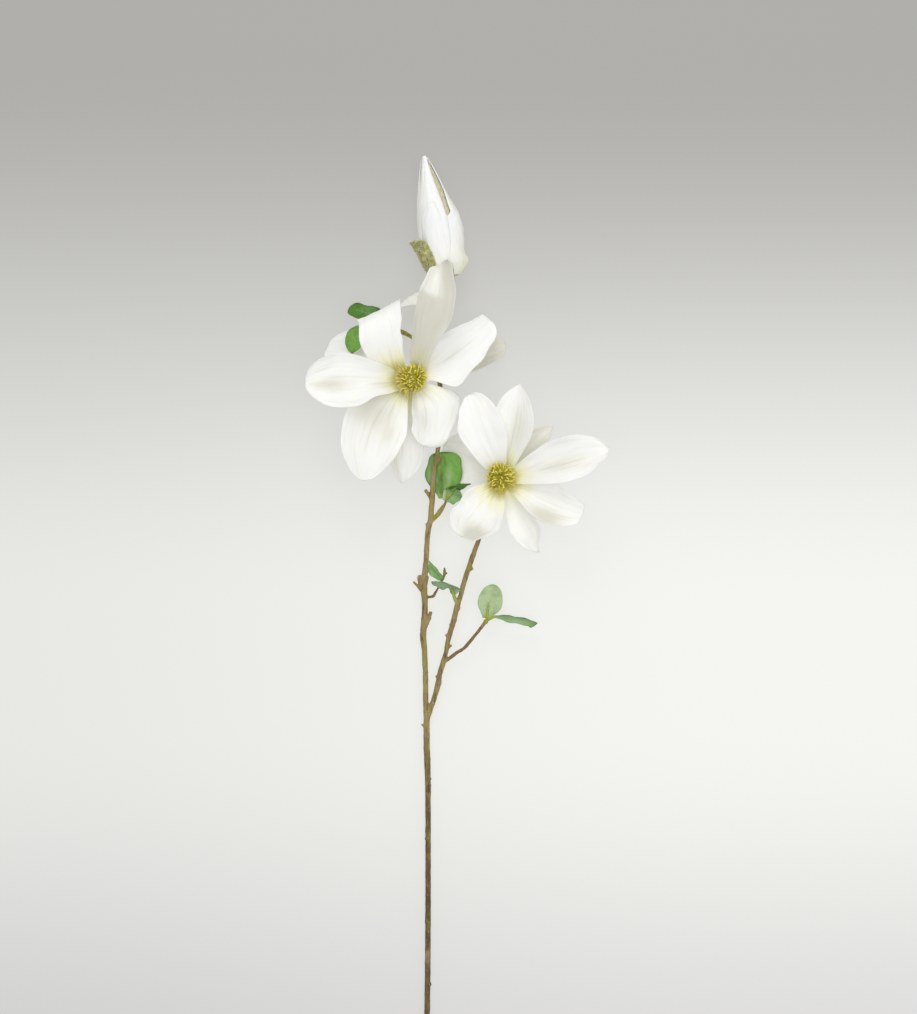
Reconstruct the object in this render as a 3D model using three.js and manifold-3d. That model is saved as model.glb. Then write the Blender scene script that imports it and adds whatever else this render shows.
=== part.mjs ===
// A cut magnolia branch lying on its back: two open blooms, one closed bud and nine small leaves.
// +Y runs up the branch, +X to its right, +Z up. Millimetres and degrees. The origin is the middle of its footprint.

import * as THREE from 'three';
import { mergeVertices } from 'three/addons/utils/BufferGeometryUtils.js';
import Module from 'manifold-3d';

const wasm = await Module();
wasm.setup();

// Plan positions hold for an eye straight above the branch, and are true lengths at PLAN_HEIGHT.
const EYE_HEIGHT = 2846.7;
const PLAN_HEIGHT = 30;

const GAP = 0.3; // between pieces that touch
const PETAL_THICKNESS = 1.0;
const LEAF_THICKNESS = 0.8;
const BUD_PETAL_THICKNESS = 2.4; // inner faces sunk into the layer below
const BRACT_THICKNESS = 1.3;
const PETIOLE_RADIUS = 0.85;
const TIP_HALF_WIDTH = 1.3; // the blunt end of a petal or leaf
const STEM_SIDES = 8;
const TWIG_SIDES = 6;

const COLOURS = {
  bark: 0x5b4a2e,
  petal: 0xf4f3ea,
  cone: 0xa8a04a,
  bract: 0x5c5f36,
  leaf: 0x3f5a33,
};

// Where the blooms sit, and how far each leans right and up the branch.
const UPPER_BLOOM = { x: -52, y: 125.5, z: 33, leanRight: 18, leanUp: 10 };
const LOWER_BLOOM = { x: 44.5, y: 26.5, z: 31, leanRight: -8, leanUp: 6 };

// A petal leaves the receptacle towards az (0 right, 90 up the branch) at height h0, climbs at rise and ends at fall.
// widest is the place of its full width along the length, claw the share of it at the base.
const PETAL = {
  r0: 5, h0: 0, sweep: 0, bend: 1, roll: 0, twist: 0, claw: 0.3, widest: 0.6, point: 0.5,
  left: 1, right: 1, fold: 0, cup: 30, curlLeft: 0, curlRight: 0, wave: 1, phase: 0,
};
const UPPER_PETALS = [
  { az: 79, footAz: 20, r0: 8, length: 125, width: 42, rise: 46, fall: -4, bend: 1.3, cup: 40, sweep: -16,
    roll: -8, h0: 6, point: 0.7, widest: 0.62, claw: 0.4, left: 0.85 },
  { az: 35, length: 103, width: 58, rise: 34, fall: -14, cup: 26, sweep: 8, curlRight: 20, h0: 3,
    point: 0.65, widest: 0.46, right: 1.15, left: 0.7, phase: 1 },
  { az: -86, footAz: -45, r0: 8, length: 68, width: 52, rise: 30, fall: -25, cup: 20, curlLeft: -40,
    sweep: -66, h0: 5, widest: 0.5, left: 1.2, right: 0.7, phase: 2 },
  { az: -116.5, length: 112, width: 66, rise: 18, fall: -20, cup: 22, sweep: 50, h0: 3, point: 0.75,
    widest: 0.5, left: 0.9, right: 1.1, phase: 3 },
  { az: 185, length: 104, width: 62, rise: 22, fall: -16, cup: 38, h0: 6, widest: 0.62, phase: 4 },
  { az: 108.5, footAz: 154, r0: 11, length: 94, width: 50, rise: 32, fall: -190, bend: 3.5, cup: 5,
    roll: -8, sweep: 4, h0: 4, point: 0.4, claw: 0.34, widest: 0.82, right: 0.82, phase: 5 },
  { az: 19, length: 107, width: 38, rise: 12, fall: -4.8, cup: 26, sweep: 10, point: 0.6, right: 0.85,
    phase: 6 },
  { az: 149, length: 91, width: 44, rise: -14, fall: -53.4, cup: 26, sweep: 6, phase: 7 },
  { az: -91.5, length: 99, width: 40, rise: -4, fall: -24, cup: 40, point: 0.8, phase: 8 },
  { az: 91, footAz: 40, r0: 8, length: 88, width: 42, rise: 14, fall: -20, cup: 24, sweep: 34, claw: 0.25,
    widest: 0.85, point: 0.3, left: 0.6, phase: 9 },
];
const LOWER_PETALS = [
  { az: 111, length: 90, width: 48, rise: 42, fall: -15, cup: 20, h0: 6, widest: 0.54, sweep: -4, phase: 1 },
  { az: 77, length: 94, width: 46, rise: 30, fall: 2, cup: 28, h0: 2, point: 0.75, widest: 0.58, sweep: 2,
    roll: -10, phase: 2 },
  { az: 14.5, length: 110, width: 47, rise: 28, fall: 0, cup: 34, h0: 5, point: 0.55, phase: 3 },
  { az: -24, length: 86, width: 46, rise: 24, fall: -18, cup: 30, h0: 2.5, point: 0.42, widest: 0.66,
    phase: 4 },
  { az: -120, length: 66, width: 54, rise: 25, fall: -10, cup: 36, h0: 5, point: 0.4, phase: 5 },
  { az: 46, length: 67, width: 28, rise: 6, fall: -14, cup: 40, point: 0.7, phase: 6 },
  { az: -65, length: 76, width: 34, rise: -4, fall: -24, cup: 30, point: 0.75, sweep: -4, phase: 7 },
  { az: 150, length: 72, width: 50, rise: -17, fall: -11, cup: 12, point: 0.45, phase: 8 },
];
const PETAL_GRID = [9, 6];
// How a blade's outline and section run: powers of the claw's and the tip's curve, share of the length over which
// the section opens, share of the cup at the foot, and waves of the margin along the length and across.
const BLADE = { clawPower: 0.8, tipPower: 2.2, opening: 0.35, footCup: 0.35, waves: 14, slant: 2 };

// The receptacle's outline and the cone's core, as radius and height above the bloom's base.
const RECEPTACLE = [[0, -5], [3.4, -5], [7.6, -1], [8, 3], [6.6, 7], [0, 7.4]];
const CONE_CORE = [[0, 7.7], [3.8, 7.7], [5, 12], [9.4, 15], [11.8, 18.4], [10.6, 22.4], [6.2, 25.6],
  [0, 26.8]];
const CORE_SIDES = 14;
// Carpels stand on the core from reach outwards, away from a centre at this height, down to the lowest climb.
const CARPEL = { count: 54, length: 6.2, radius: 1.75, centre: 16.4, reach: 7.4, lowest: 14 };
// Loose stamens fan out between two directions and climb, give or take a little.
const STAMEN = {
  count: 12, length: 13, radius: 1, from: 146, to: 266, start: 6.5, height: 13.4, climb: 24, spread: 5,
};
const SPIKE_SIDES = 4;
const SPIKE_TIP = 0.4; // share of its radius at the tip

// The bud: its foot and its tip, and its radius along the length as [share, radius].
const BUD = { foot: [-9.3, 230, 24.9], tip: [-33.2, 351, 19.5], flat: 0.92 };
const BUD_RADII = [[0, 9], [0.04, 15], [0.1, 19.6], [0.2, 21.8], [0.34, 21.6], [0.5, 19.6], [0.64, 15.8],
  [0.8, 10], [0.92, 4.8], [1, 1.6]];
// Petals wrapped round it: middle and half spread round the axis, start and end along it, share of the radius.
const BUD_PETALS = [
  { at: -8, half: 113, from: 0.065, to: 0.99, layer: 1 },
  { at: 140, half: 102, from: 0.065, to: 1, layer: 2 },
  { at: 196, half: 46, from: 0.065, to: 0.9, layer: 3 },
  { at: 86, half: 28, from: 0.065, to: 0.6, layer: 3, lift: 2.4 },
];
const BUD_LAYER = 1; // each layer stands this far outside the one below
const BUD_THINNEST = 1.4; // least radius of a petal's middle surface
const BUD_SIDES = 16;
const BUD_PETAL_ROWS = 8;
const BUD_COLUMN = 22; // degrees round the axis
// A bud petal's spread: its share at the foot, the place where it is full, and the share lost at the tip.
const WRAP = { foot: 0.6, full: 0.42, lost: 0.3 };
// The bud's core: its flat underside and blunt top as shares of the length, and how far it lies below the petals.
const BUD_CORE = { bottom: 0.012, bottomRadius: 8, top: 0.95, below: 0.9 };
// Bracts at the bud's foot, hairy scales that opened: spread round the axis, length, stand-off at the foot and tip.
const BRACTS = [
  { at: 151, half: 50, length: 40, foot: 3.6, flare: 5.5, skew: 0.1 },
  { at: 258, half: 38, length: 25, foot: 3.6, flare: 0.2, skew: 0 },
];
const BRACT_CUP = [[0, -7], [4.6, -7], [6.2, -4.6], [7, -2.2], [6, 1], [0, 1]];
const BRACT_ROOT = 3.7; // radius of the bracts' roots, less their stand-off
const BRACT_START = -3; // where the roots sit along the bud's axis
const BRACT_GRID = [6, 6];
const BRACT_ROUND = { power: 3, share: 0.93 }; // how the outline rounds in towards its blunt tip
const CUP_SIDES = 12;

// Wood: each run is a list of [x, y, z, radius] points, thick end first.
const MAIN_STEM = [
  [-33, -567, 2.75, 2.75], [-31.5, -507, 3.4, 2.7], [-30.3, -420, 4.4, 2.65], [-30.1, -343, 5.4, 2.6],
  [-30.3, -271, 6.4, 2.55],
  [-30.9, -254, 6.6, 2.9], [-30.4, -240, 6.8, 2.5], [-30, -205, 7.4, 2.7], [-32.5, -168, 8.2, 2.35],
  [-34, -143, 8.8, 2.3], [-35.1, -126, 9.2, 2.5],
  [-34, -97, 10, 2.35], [-34.4, -75, 10.6, 3.1], [-32.7, -53, 11.4, 2.3], [-29.8, -15, 13, 2.3],
  [-26.5, 11, 14.4, 2.5], [-24.5, 38, 15.6, 2.2],
  [-21.5, 52, 16, 2.2], [-18.5, 75, 15, 2.1], [-17.5, 105, 13.5, 2.1], [-18.5, 124, 13, 2.3],
  [-20, 160, 13.6, 2.1], [-19, 192, 16, 2.2], [-12.6, 214, 22, 2.5], [-10.4, 222.4, 24, 2.9],
  [-9.7, 226, 24.6, 3.4],
];
const LOWER_BRANCH = [
  [-30.2, -205, 7.4, 2.3], [-27.5, -196, 7.4, 2.3], [-24.5, -185, 7.4, 2.1], [-20, -170, 7.8, 2.2],
  [-14.5, -155, 8.2, 2.2], [-10.5, -138, 8.6, 2.1], [-1, -99, 9.6, 2.2],
  [2.5, -88, 9.8, 2.1], [4.5, -79, 10, 2.4], [11.5, -58, 10.4, 2.1], [19.5, -35, 10.6, 2.1],
  [29, -10, 11, 2.1], [38.5, 10, 13.6, 2.1], [44, 22, 20, 2.4], [44.9, 26.1, 26.6, 3],
];
const BLOOM_STALK = [[-18.2, 88, 14.4, 2], [-22.5, 103, 14.6, 2], [-34, 116, 16, 2.1],
  [-45, 121.5, 20, 2.3], [-52.7, 124.6, 28.6, 3]];
const SIDE_TWIG = [[-14.5, -155, 8.2, 1.7], [-8, -150.5, 8.8, 1.5], [-0.7, -145, 10, 1.6],
  [4.5, -142, 10.8, 1.5], [18.2, -126.4, 13, 1.4], [26.2, -116, 14.8, 1.5], [27.6, -114.4, 15, 2.3],
  [28.4, -113.4, 15.2, 1.6]];
const LEAF_TWIG = [[-19, 160, 13.5, 1.6], [-38, 164.5, 14.5, 1.4], [-53, 173.5, 16.5, 1.9],
  [-70, 180, 22, 1.3], [-86, 182.8, 28.2, 1.3], [-88, 183, 29, 2.2], [-89.2, 183.1, 29.4, 1.5]];
const CLUSTER_STALK = [[-29.8, -14, 13, 1.8], [-18, -3, 12.4, 1.6], [-12.3, 5.4, 12.2, 1.5],
  [-10.4, 9.4, 12.4, 1.7], [-9.7, 11, 12.6, 2.5], [-9.1, 12.4, 12.8, 1.8]];
const THIN_TWIG = [[-33.4, -89.5, 10.2, 1.1], [-25.5, -89, 11, 0.9], [-19.1, -79, 13, 0.8],
  [-13.9, -62.5, 16, 0.7], [-13, -58, 17, 0.6]];

// Short stubs, thorns and nodules: [x, y, z] of the foot, [x, y, z] of the end, radius at the foot and at the end.
const STUBS = [
  [[-30.5, -478, 3.7], [-26.6, -478, 5], 1.9, 1.3],
  [[-30.3, -410, 4.6], [-28.4, -407, 7.2], 1.9, 1.2],
  [[-30.2, -332, 5.6], [-34.4, -331, 6.6], 1.8, 1.1],
  [[-30.4, -273, 6.4], [-26.3, -271, 7], 1.9, 1.2],
  [[-31, -219, 7.2], [-36.4, -219.5, 8.2], 1.6, 0.6],
  [[-32.2, -190, 7.8], [-36.4, -190, 8.6], 2, 1.3],
  [[-34.4, -130, 9], [-38.2, -129, 9.6], 2.1, 1.3],
  [[-34.5, -118, 9.4], [-26.3, -105, 12], 1.9, 1],
  [[-34.8, -79.5, 10.4], [-39.6, -75, 11], 3, 2],
  [[-34, -78, 10.6], [-30, -71.5, 12], 2.4, 1.5],
  [[-37, -79.5, 10.6], [-45.7, -73.5, 12.4], 1.3, 0.7],
  [[-28.4, 8, 14.2], [-34, 17.5, 15.2], 1.8, 1.1],
  [[-22.6, 46, 15.8], [-15.6, 50.5, 17], 1.7, 0.8],
  [[-21, -175, 7.8], [-23.8, -169.4, 8.6], 1.8, 1.2],
  [[-18.6, -176, 7.6], [-16.4, -174.6, 9.2], 1.8, 1.1],
  [[-11.3, -141, 8.6], [-6.6, -138.4, 9.6], 1.6, 0.6],
  [[-9.4, -132, 8.8], [-12.4, -128, 9.4], 1.8, 1.2],
  [[-7.6, -120, 9.2], [-9.8, -117.4, 9.8], 1.8, 1.2],
  [[-0.6, -101, 9.6], [2.4, -103, 10.4], 1.8, 1.2],
  [[12.4, -59, 10.4], [15, -63.6, 11.4], 1.8, 1.1],
];

// Leaves: foot of the blade, where the petiole starts, and the blade's own shape.
const LEAF = { ...PETAL, r0: 0, claw: 0.14, point: 0.8, widest: 0.45, cup: 20, wave: 0.5 };
const LEAVES = {
  leaf_upper_left_top: { foot: [-77, 187.5, 31.5], stalk: [-88, 183, 29], az: 164, length: 36, width: 24,
    rise: 8, fall: -30, cup: 24, roll: 28, sweep: 18 },
  leaf_upper_left_low: { foot: [-94, 182.5, 33], stalk: [-88, 183, 29], az: 247, length: 33, width: 20,
    rise: 6, fall: -25, roll: -12, sweep: 46, phase: 1 },
  leaf_cluster_round: { foot: [-10.8, 14, 14], stalk: [-9.7, 11, 12.6], az: 99, length: 41, width: 41,
    rise: 0, fall: -2, claw: 0.3, point: 0.4, widest: 0.58, roll: -18, cup: 12 },
  leaf_cluster_edge: { foot: [-5, 12.6, 15.5], stalk: [-9.7, 11, 12.6], az: 22, length: 20, width: 14,
    rise: 12, fall: -5, roll: 62, phase: 1 },
  leaf_cluster_low: { foot: [-7, 6.6, 14.5], stalk: [-9.7, 11, 12.6], az: -30, length: 15, width: 16,
    rise: 8, fall: -20, roll: -20, phase: 2 },
  leaf_middle_narrow: { foot: [-28.6, -55, 12.4], stalk: [-32, -52, 11.4], az: -46, length: 24, width: 10,
    rise: 20, fall: -10, roll: 52, widest: 0.55, phase: 3 },
  leaf_middle_folded: { foot: [-2.6, -84, 14], stalk: [-0.6, -97, 10], az: 158, length: 27, width: 15,
    rise: 16, fall: -6, fold: 34, roll: -62, phase: 4 },
  leaf_right_round: { foot: [27.2, -109.6, 17.4], stalk: [27.6, -114.4, 15], az: 80.5, length: 32,
    width: 25, rise: 10, fall: -6, point: 0.5, widest: 0.55, phase: 5 },
  leaf_right_flat: { foot: [37.5, -109.4, 16.6], stalk: [27.6, -114.4, 15], az: -9, length: 43, width: 18,
    rise: 8, fall: -18, roll: 68, cup: 22, phase: 6 },
};
const LEAF_GRID = [6, 4];
const PETIOLE_SIDES = 5;
const PETIOLE = { sunk: 0.22, taper: 0.7 }; // how far up the blade it runs, and its share of the radius there

const rad = THREE.MathUtils.degToRad;
const { clamp, smoothstep } = THREE.MathUtils;
const SAMPLES = 16; // steps of a blade's curves
const PROBE = 1e-3; // step for a surface's slope
const WELD = 1e-4; // vertices this close are one

function spot([x, y, z]) {
  const spread = (EYE_HEIGHT - z) / (EYE_HEIGHT - PLAN_HEIGHT);
  return new THREE.Vector3(x * spread, y * spread, z);
}

// Width share along a blade: a narrow claw, its widest place, then a rounded tip.
function widthShare(u, { widest, claw, point }) {
  if (u < widest) return claw + (1 - claw) * smoothstep(u, 0, widest) ** BLADE.clawPower;
  return Math.max(1 - ((u - widest) / (1 - widest)) ** BLADE.tipPower, 0) ** point;
}

// Direction of a blade's midrib at u.
function heading(u, p) {
  const climb = rad(p.rise + (p.fall - p.rise) * u ** p.bend);
  const turn = rad(p.az + p.sweep * (u - 0.5));
  return {
    along: new THREE.Vector3(Math.cos(climb) * Math.cos(turn), Math.cos(climb) * Math.sin(turn), Math.sin(climb)),
    side: new THREE.Vector3(-Math.sin(turn), Math.cos(turn), 0),
  };
}

// Point on a blade's middle surface, u from foot to tip and v across from -1 to 1.
function bladePoint(u, v, p) {
  const start = rad(p.footAz ?? p.az);
  const point = new THREE.Vector3(p.r0 * Math.cos(start), p.r0 * Math.sin(start), p.h0);
  for (let i = 0; i < SAMPLES; i += 1) {
    point.addScaledVector(heading((u * (i + 0.5)) / SAMPLES, p).along, (p.length * u) / SAMPLES);
  }
  const { along, side } = heading(u, p);
  const up = along.clone().cross(side);
  const roll = rad(p.roll + p.twist * u);
  const across = side.clone().multiplyScalar(Math.cos(roll)).addScaledVector(up, Math.sin(roll));
  const normal = up.clone().multiplyScalar(Math.cos(roll)).addScaledVector(side, -Math.sin(roll));
  const half = Math.max((p.width / 2) * widthShare(u, p) * (v > 0 ? p.left : p.right), TIP_HALF_WIDTH);
  const opened = clamp(u / BLADE.opening, 0, 1);
  const cup = rad(p.cup) * (BLADE.footCup + (1 - BLADE.footCup) * opened);
  const curl = rad(v > 0 ? p.curlLeft : p.curlRight) * opened ** 2;
  const size = Math.abs(v);
  let out = 0;
  let lift = 0;
  for (let i = 0; i < SAMPLES; i += 1) {
    const s = (size * (i + 0.5)) / SAMPLES;
    const angle = rad(p.fold) + cup * s + curl * s ** 3;
    out += (Math.cos(angle) * size) / SAMPLES;
    lift += (Math.sin(angle) * size) / SAMPLES;
  }
  const ruffle = p.wave * opened * size ** 2 * Math.sin(u * BLADE.waves + p.phase + v * BLADE.slant);
  return point.addScaledVector(across, half * Math.sign(v) * out).addScaledVector(normal, half * lift + ruffle);
}

// Closed plate of even thickness about a surface, split into triangles alike on both faces.
function plate(surface, thickness, [nu, nv]) {
  const positions = [];
  const index = [];
  for (const face of [0.5, -0.5]) {
    for (let i = 0; i <= nu; i += 1) {
      for (let j = 0; j <= nv; j += 1) {
        const u = i / nu;
        const v = (2 * j) / nv - 1;
        const uLow = Math.max(u - PROBE, 0);
        const uHigh = Math.min(u + PROBE, 1);
        const vLow = Math.max(v - PROBE, -1);
        const vHigh = Math.min(v + PROBE, 1);
        const alongU = surface(uHigh, v).sub(surface(uLow, v));
        const alongV = surface(u, vHigh).sub(surface(u, vLow));
        const normal = alongU.cross(alongV).normalize();
        positions.push(...surface(u, v).addScaledVector(normal, face * thickness).toArray());
      }
    }
  }
  const at = (face, i, j) => face * (nu + 1) * (nv + 1) + i * (nv + 1) + j;
  const quad = (a, b, c, d) => index.push(a, b, c, a, c, d);
  for (let i = 0; i < nu; i += 1) {
    for (let j = 0; j < nv; j += 1) {
      quad(at(0, i, j), at(0, i + 1, j), at(0, i + 1, j + 1), at(0, i, j + 1));
      index.push(at(1, i, j), at(1, i + 1, j + 1), at(1, i + 1, j));
      index.push(at(1, i, j), at(1, i, j + 1), at(1, i + 1, j + 1));
    }
  }
  for (let i = 0; i < nu; i += 1) {
    quad(at(1, i, 0), at(1, i + 1, 0), at(0, i + 1, 0), at(0, i, 0));
    quad(at(0, i, nv), at(0, i + 1, nv), at(1, i + 1, nv), at(1, i, nv));
  }
  for (let j = 0; j < nv; j += 1) {
    quad(at(0, 0, j), at(0, 0, j + 1), at(1, 0, j + 1), at(1, 0, j));
    quad(at(1, nu, j), at(1, nu, j + 1), at(0, nu, j + 1), at(0, nu, j));
  }
  const geometry = new THREE.BufferGeometry();
  geometry.setAttribute('position', new THREE.Float32BufferAttribute(positions, 3));
  geometry.setIndex(index);
  return geometry;
}

// Round bar along a smooth line through [position, radius] points.
function bar(stations, sides, extra = 0, steps = 2) {
  const curve = new THREE.CatmullRomCurve3(stations.map(([point]) => point), false, 'centripetal');
  const count = (stations.length - 1) * steps;
  const positions = [];
  const index = [];
  let side = new THREE.Vector3(1, 0, 0);
  for (let i = 0; i <= count; i += 1) {
    const t = i / count;
    const centre = curve.getPoint(t);
    const along = curve.getTangent(t);
    side = side.addScaledVector(along, -side.dot(along)).normalize();
    const up = along.clone().cross(side);
    const low = Math.min(Math.floor(i / steps), stations.length - 2);
    const share = i / steps - low;
    const radius = stations[low][1] * (1 - share) + stations[low + 1][1] * share + extra;
    for (let k = 0; k < sides; k += 1) {
      const angle = (2 * Math.PI * (k + 0.5)) / sides;
      const rim = centre.clone().addScaledVector(side, radius * Math.cos(angle));
      positions.push(...rim.addScaledVector(up, radius * Math.sin(angle)).toArray());
    }
  }
  for (let i = 0; i < count; i += 1) {
    for (let k = 0; k < sides; k += 1) {
      const a = i * sides + k;
      const b = i * sides + ((k + 1) % sides);
      index.push(a, b, b + sides, a, b + sides, a + sides);
    }
  }
  for (let k = 1; k < sides - 1; k += 1) {
    const last = count * sides;
    index.push(0, k + 1, k, last, last + k, last + k + 1);
  }
  const geometry = new THREE.BufferGeometry();
  geometry.setAttribute('position', new THREE.Float32BufferAttribute(positions, 3));
  geometry.setIndex(index);
  return geometry;
}

function toSolid(geometry) {
  const bare = geometry.clone();
  bare.deleteAttribute('normal');
  bare.deleteAttribute('uv');
  const merged = mergeVertices(bare, WELD);
  return new wasm.Manifold(new wasm.Mesh({
    numProp: 3,
    vertProperties: new Float32Array(merged.attributes.position.array),
    triVerts: new Uint32Array(merged.index.array),
  }));
}

// The largest body of a solid: sealed hollows are filled and loose scraps dropped.
function oneBody(solid) {
  return solid.decompose().sort((a, b) => b.volume() - a.volume())[0];
}

function fuse(geometries) {
  return oneBody(geometries.map(toSolid).reduce((sum, solid) => sum.add(solid)));
}

// A bloom's own frame: +Z is the axis it opens along.
function bloomFrame({ x, y, z, leanRight, leanUp }) {
  const tipUp = new THREE.Matrix4().makeRotationX(-rad(leanUp));
  return new THREE.Matrix4().makeRotationY(rad(leanRight)).multiply(tipUp).setPosition(spot([x, y, z]));
}

function lathe(profile, sides) {
  return new THREE.LatheGeometry(profile.map(([r, h]) => new THREE.Vector2(r, h)), sides).rotateX(Math.PI / 2);
}

function bloomPetals(petals, bloom) {
  const pieces = [lathe(RECEPTACLE, CORE_SIDES)];
  for (const own of petals) {
    const p = { ...PETAL, ...own };
    pieces.push(plate((u, v) => bladePoint(u, v, p), PETAL_THICKNESS, PETAL_GRID));
  }
  return fuse(pieces.map((piece) => piece.applyMatrix4(bloomFrame(bloom))));
}

// A blunt four-sided spike from a point along a direction.
function spike(from, direction, length, radius) {
  const tip = from.clone().addScaledVector(direction, length);
  return bar([[from, radius], [tip, radius * SPIKE_TIP]], SPIKE_SIDES, 0, 1);
}

function polar(azimuth, climb) {
  return new THREE.Vector3(Math.cos(climb) * Math.cos(azimuth), Math.cos(climb) * Math.sin(azimuth), Math.sin(climb));
}

// Carpels in a golden-angle spiral over the core, with loose stamens on the side the bloom leans from.
function bloomCone(bloom, stamens) {
  const pieces = [lathe(CONE_CORE, CORE_SIDES)];
  const centre = new THREE.Vector3(0, 0, CARPEL.centre);
  const golden = Math.PI * (3 - Math.sqrt(5));
  const lowest = Math.sin(rad(CARPEL.lowest));
  for (let i = 0; i < CARPEL.count; i += 1) {
    const climb = Math.asin(1 - (1 - lowest) * ((i + 0.5) / CARPEL.count));
    const direction = polar(i * golden, climb);
    const from = centre.clone().addScaledVector(direction, CARPEL.reach);
    pieces.push(spike(from, direction, CARPEL.length, CARPEL.radius));
  }
  for (let i = 0; i < stamens; i += 1) {
    const azimuth = rad(STAMEN.from + ((STAMEN.to - STAMEN.from) * i) / (stamens - 1));
    const from = polar(azimuth, 0).multiplyScalar(STAMEN.start).setZ(STAMEN.height);
    const direction = polar(azimuth, rad(STAMEN.climb + STAMEN.spread * Math.sin(i * golden)));
    pieces.push(spike(from, direction, STAMEN.length, STAMEN.radius));
  }
  return fuse(pieces.map((piece) => piece.applyMatrix4(bloomFrame(bloom))));
}

// The bud's frame: foot, unit axis, side and up, so that angles run from its right side over the top.
function budFrame() {
  const foot = spot(BUD.foot);
  const axis = spot(BUD.tip).sub(foot);
  const length = axis.length();
  axis.normalize();
  const side = new THREE.Vector3(1, 0, 0).addScaledVector(axis, -axis.x).normalize();
  const up = side.clone().cross(axis).normalize();
  return { foot, axis, side, up, length };
}

function budRadius(share) {
  const s = clamp(share, 0, 1);
  const next = Math.max(BUD_RADII.findIndex(([at]) => at >= s), 1);
  const [a, ra] = BUD_RADII[next - 1];
  const [b, rb] = BUD_RADII[next];
  return ra + ((rb - ra) * (s - a)) / (b - a);
}

function budPoint(frame, along, angle, radius) {
  return frame.foot.clone().addScaledVector(frame.axis, along)
    .addScaledVector(frame.side, radius * Math.cos(angle))
    .addScaledVector(frame.up, radius * BUD.flat * Math.sin(angle));
}

function budCore(frame) {
  const profile = [[0, BUD_CORE.bottom], [BUD_CORE.bottomRadius, BUD_CORE.bottom]];
  for (const [share, radius] of BUD_RADII.slice(1, -1)) profile.push([radius - BUD_CORE.below, share]);
  profile.push([0, BUD_CORE.top]);
  const outline = profile.map(([radius, share]) => new THREE.Vector2(radius, share * frame.length));
  const basis = new THREE.Matrix4().makeBasis(frame.side, frame.axis,
  frame.up.clone().multiplyScalar(BUD.flat));
  return new THREE.LatheGeometry(outline, BUD_SIDES).applyMatrix4(basis.setPosition(frame.foot));
}

function budPetal(frame, { at, half, from, to, layer, lift = 0 }) {
  const surface = (u, v) => {
    const place = from + (to - from) * u;
    const opened = WRAP.foot + (1 - WRAP.foot) * Math.sin((Math.PI / 2) * clamp(u / WRAP.full, 0, 1));
    const spread = rad(half) * opened * (1 - WRAP.lost * u ** 4);
    const radius = Math.max(budRadius(place) + (layer - 2) * BUD_LAYER, BUD_THINNEST) + lift * u ** 6;
    return budPoint(frame, place * frame.length, rad(at) + v * spread, radius);
  };
  return plate(surface, BUD_PETAL_THICKNESS, [BUD_PETAL_ROWS, 2 * Math.ceil(half / BUD_COLUMN)]);
}

function budPetals() {
  const frame = budFrame();
  return fuse([budCore(frame), ...BUD_PETALS.map((petal) => budPetal(frame, petal))]);
}

function bract(frame, { at, half, length, foot, flare, skew }) {
  const surface = (u, v) => {
    const along = BRACT_START + length * u ** 1.4 * (1 + skew * v);
    const spread = rad(half) * Math.sqrt(1 - (u * BRACT_ROUND.share) ** BRACT_ROUND.power);
    const base = along < 0 ? BRACT_ROOT : budRadius(along / frame.length);
    return budPoint(frame, along, rad(at) + v * spread, base + foot + flare * u ** 4);
  };
  return plate(surface, BRACT_THICKNESS, BRACT_GRID);
}

function budBracts() {
  const frame = budFrame();
  const basis = new THREE.Matrix4().makeBasis(frame.side, frame.axis, frame.up).setPosition(frame.foot);
  const outline = BRACT_CUP.map(([radius, along]) => new THREE.Vector2(radius, along));
  const cup = new THREE.LatheGeometry(outline, CUP_SIDES);
  return fuse([cup.applyMatrix4(basis), ...BRACTS.map((one) => bract(frame, one))]);
}

function run(points, sides, extra, steps) {
  return bar(points.map(([x, y, z, radius]) => [spot([x, y, z]), radius]), sides, extra, steps);
}

// The wood in one piece, or grown by extra on every side to clear it from its neighbours.
function wood(extra) {
  const pieces = [
    run(MAIN_STEM, STEM_SIDES, extra, 1),
    run(LOWER_BRANCH, STEM_SIDES, extra, 1),
    run(BLOOM_STALK, TWIG_SIDES, extra, 2),
    run(SIDE_TWIG, TWIG_SIDES, extra, 1),
    run(LEAF_TWIG, TWIG_SIDES, extra, 2),
    run(CLUSTER_STALK, TWIG_SIDES, extra, 1),
    run(THIN_TWIG, TWIG_SIDES, extra, 1),
  ];
  for (const [foot, end, thick, thin] of STUBS) {
    pieces.push(run([[...foot, thick], [...end, thin]], TWIG_SIDES, extra, 1));
  }
  return fuse(pieces);
}

function leaf(own) {
  const p = { ...LEAF, ...own };
  const foot = spot(p.foot);
  const blade = plate((u, v) => bladePoint(u, v, p).add(foot), LEAF_THICKNESS, LEAF_GRID);
  const inside = bladePoint(PETIOLE.sunk, 0, p).add(foot);
  const line = [[spot(p.stalk), PETIOLE_RADIUS], [foot, PETIOLE_RADIUS],
  [inside, PETIOLE_RADIUS * PETIOLE.taper]];
  return fuse([blade, bar(line, PETIOLE_SIDES, 0, 1)]);
}

function meshOf(name, solid, colour, roughness) {
  const { vertProperties, triVerts } = oneBody(solid).getMesh();
  const geometry = new THREE.BufferGeometry();
  geometry.setAttribute('position', new THREE.BufferAttribute(new Float32Array(vertProperties), 3));
  geometry.setIndex(new THREE.BufferAttribute(new Uint32Array(triVerts), 1));
  geometry.computeVertexNormals();
  const mesh = new THREE.Mesh(geometry, new THREE.MeshStandardMaterial({ color: colour, roughness,
  metalness: 0 }));
  mesh.name = name;
  return mesh;
}

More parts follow.
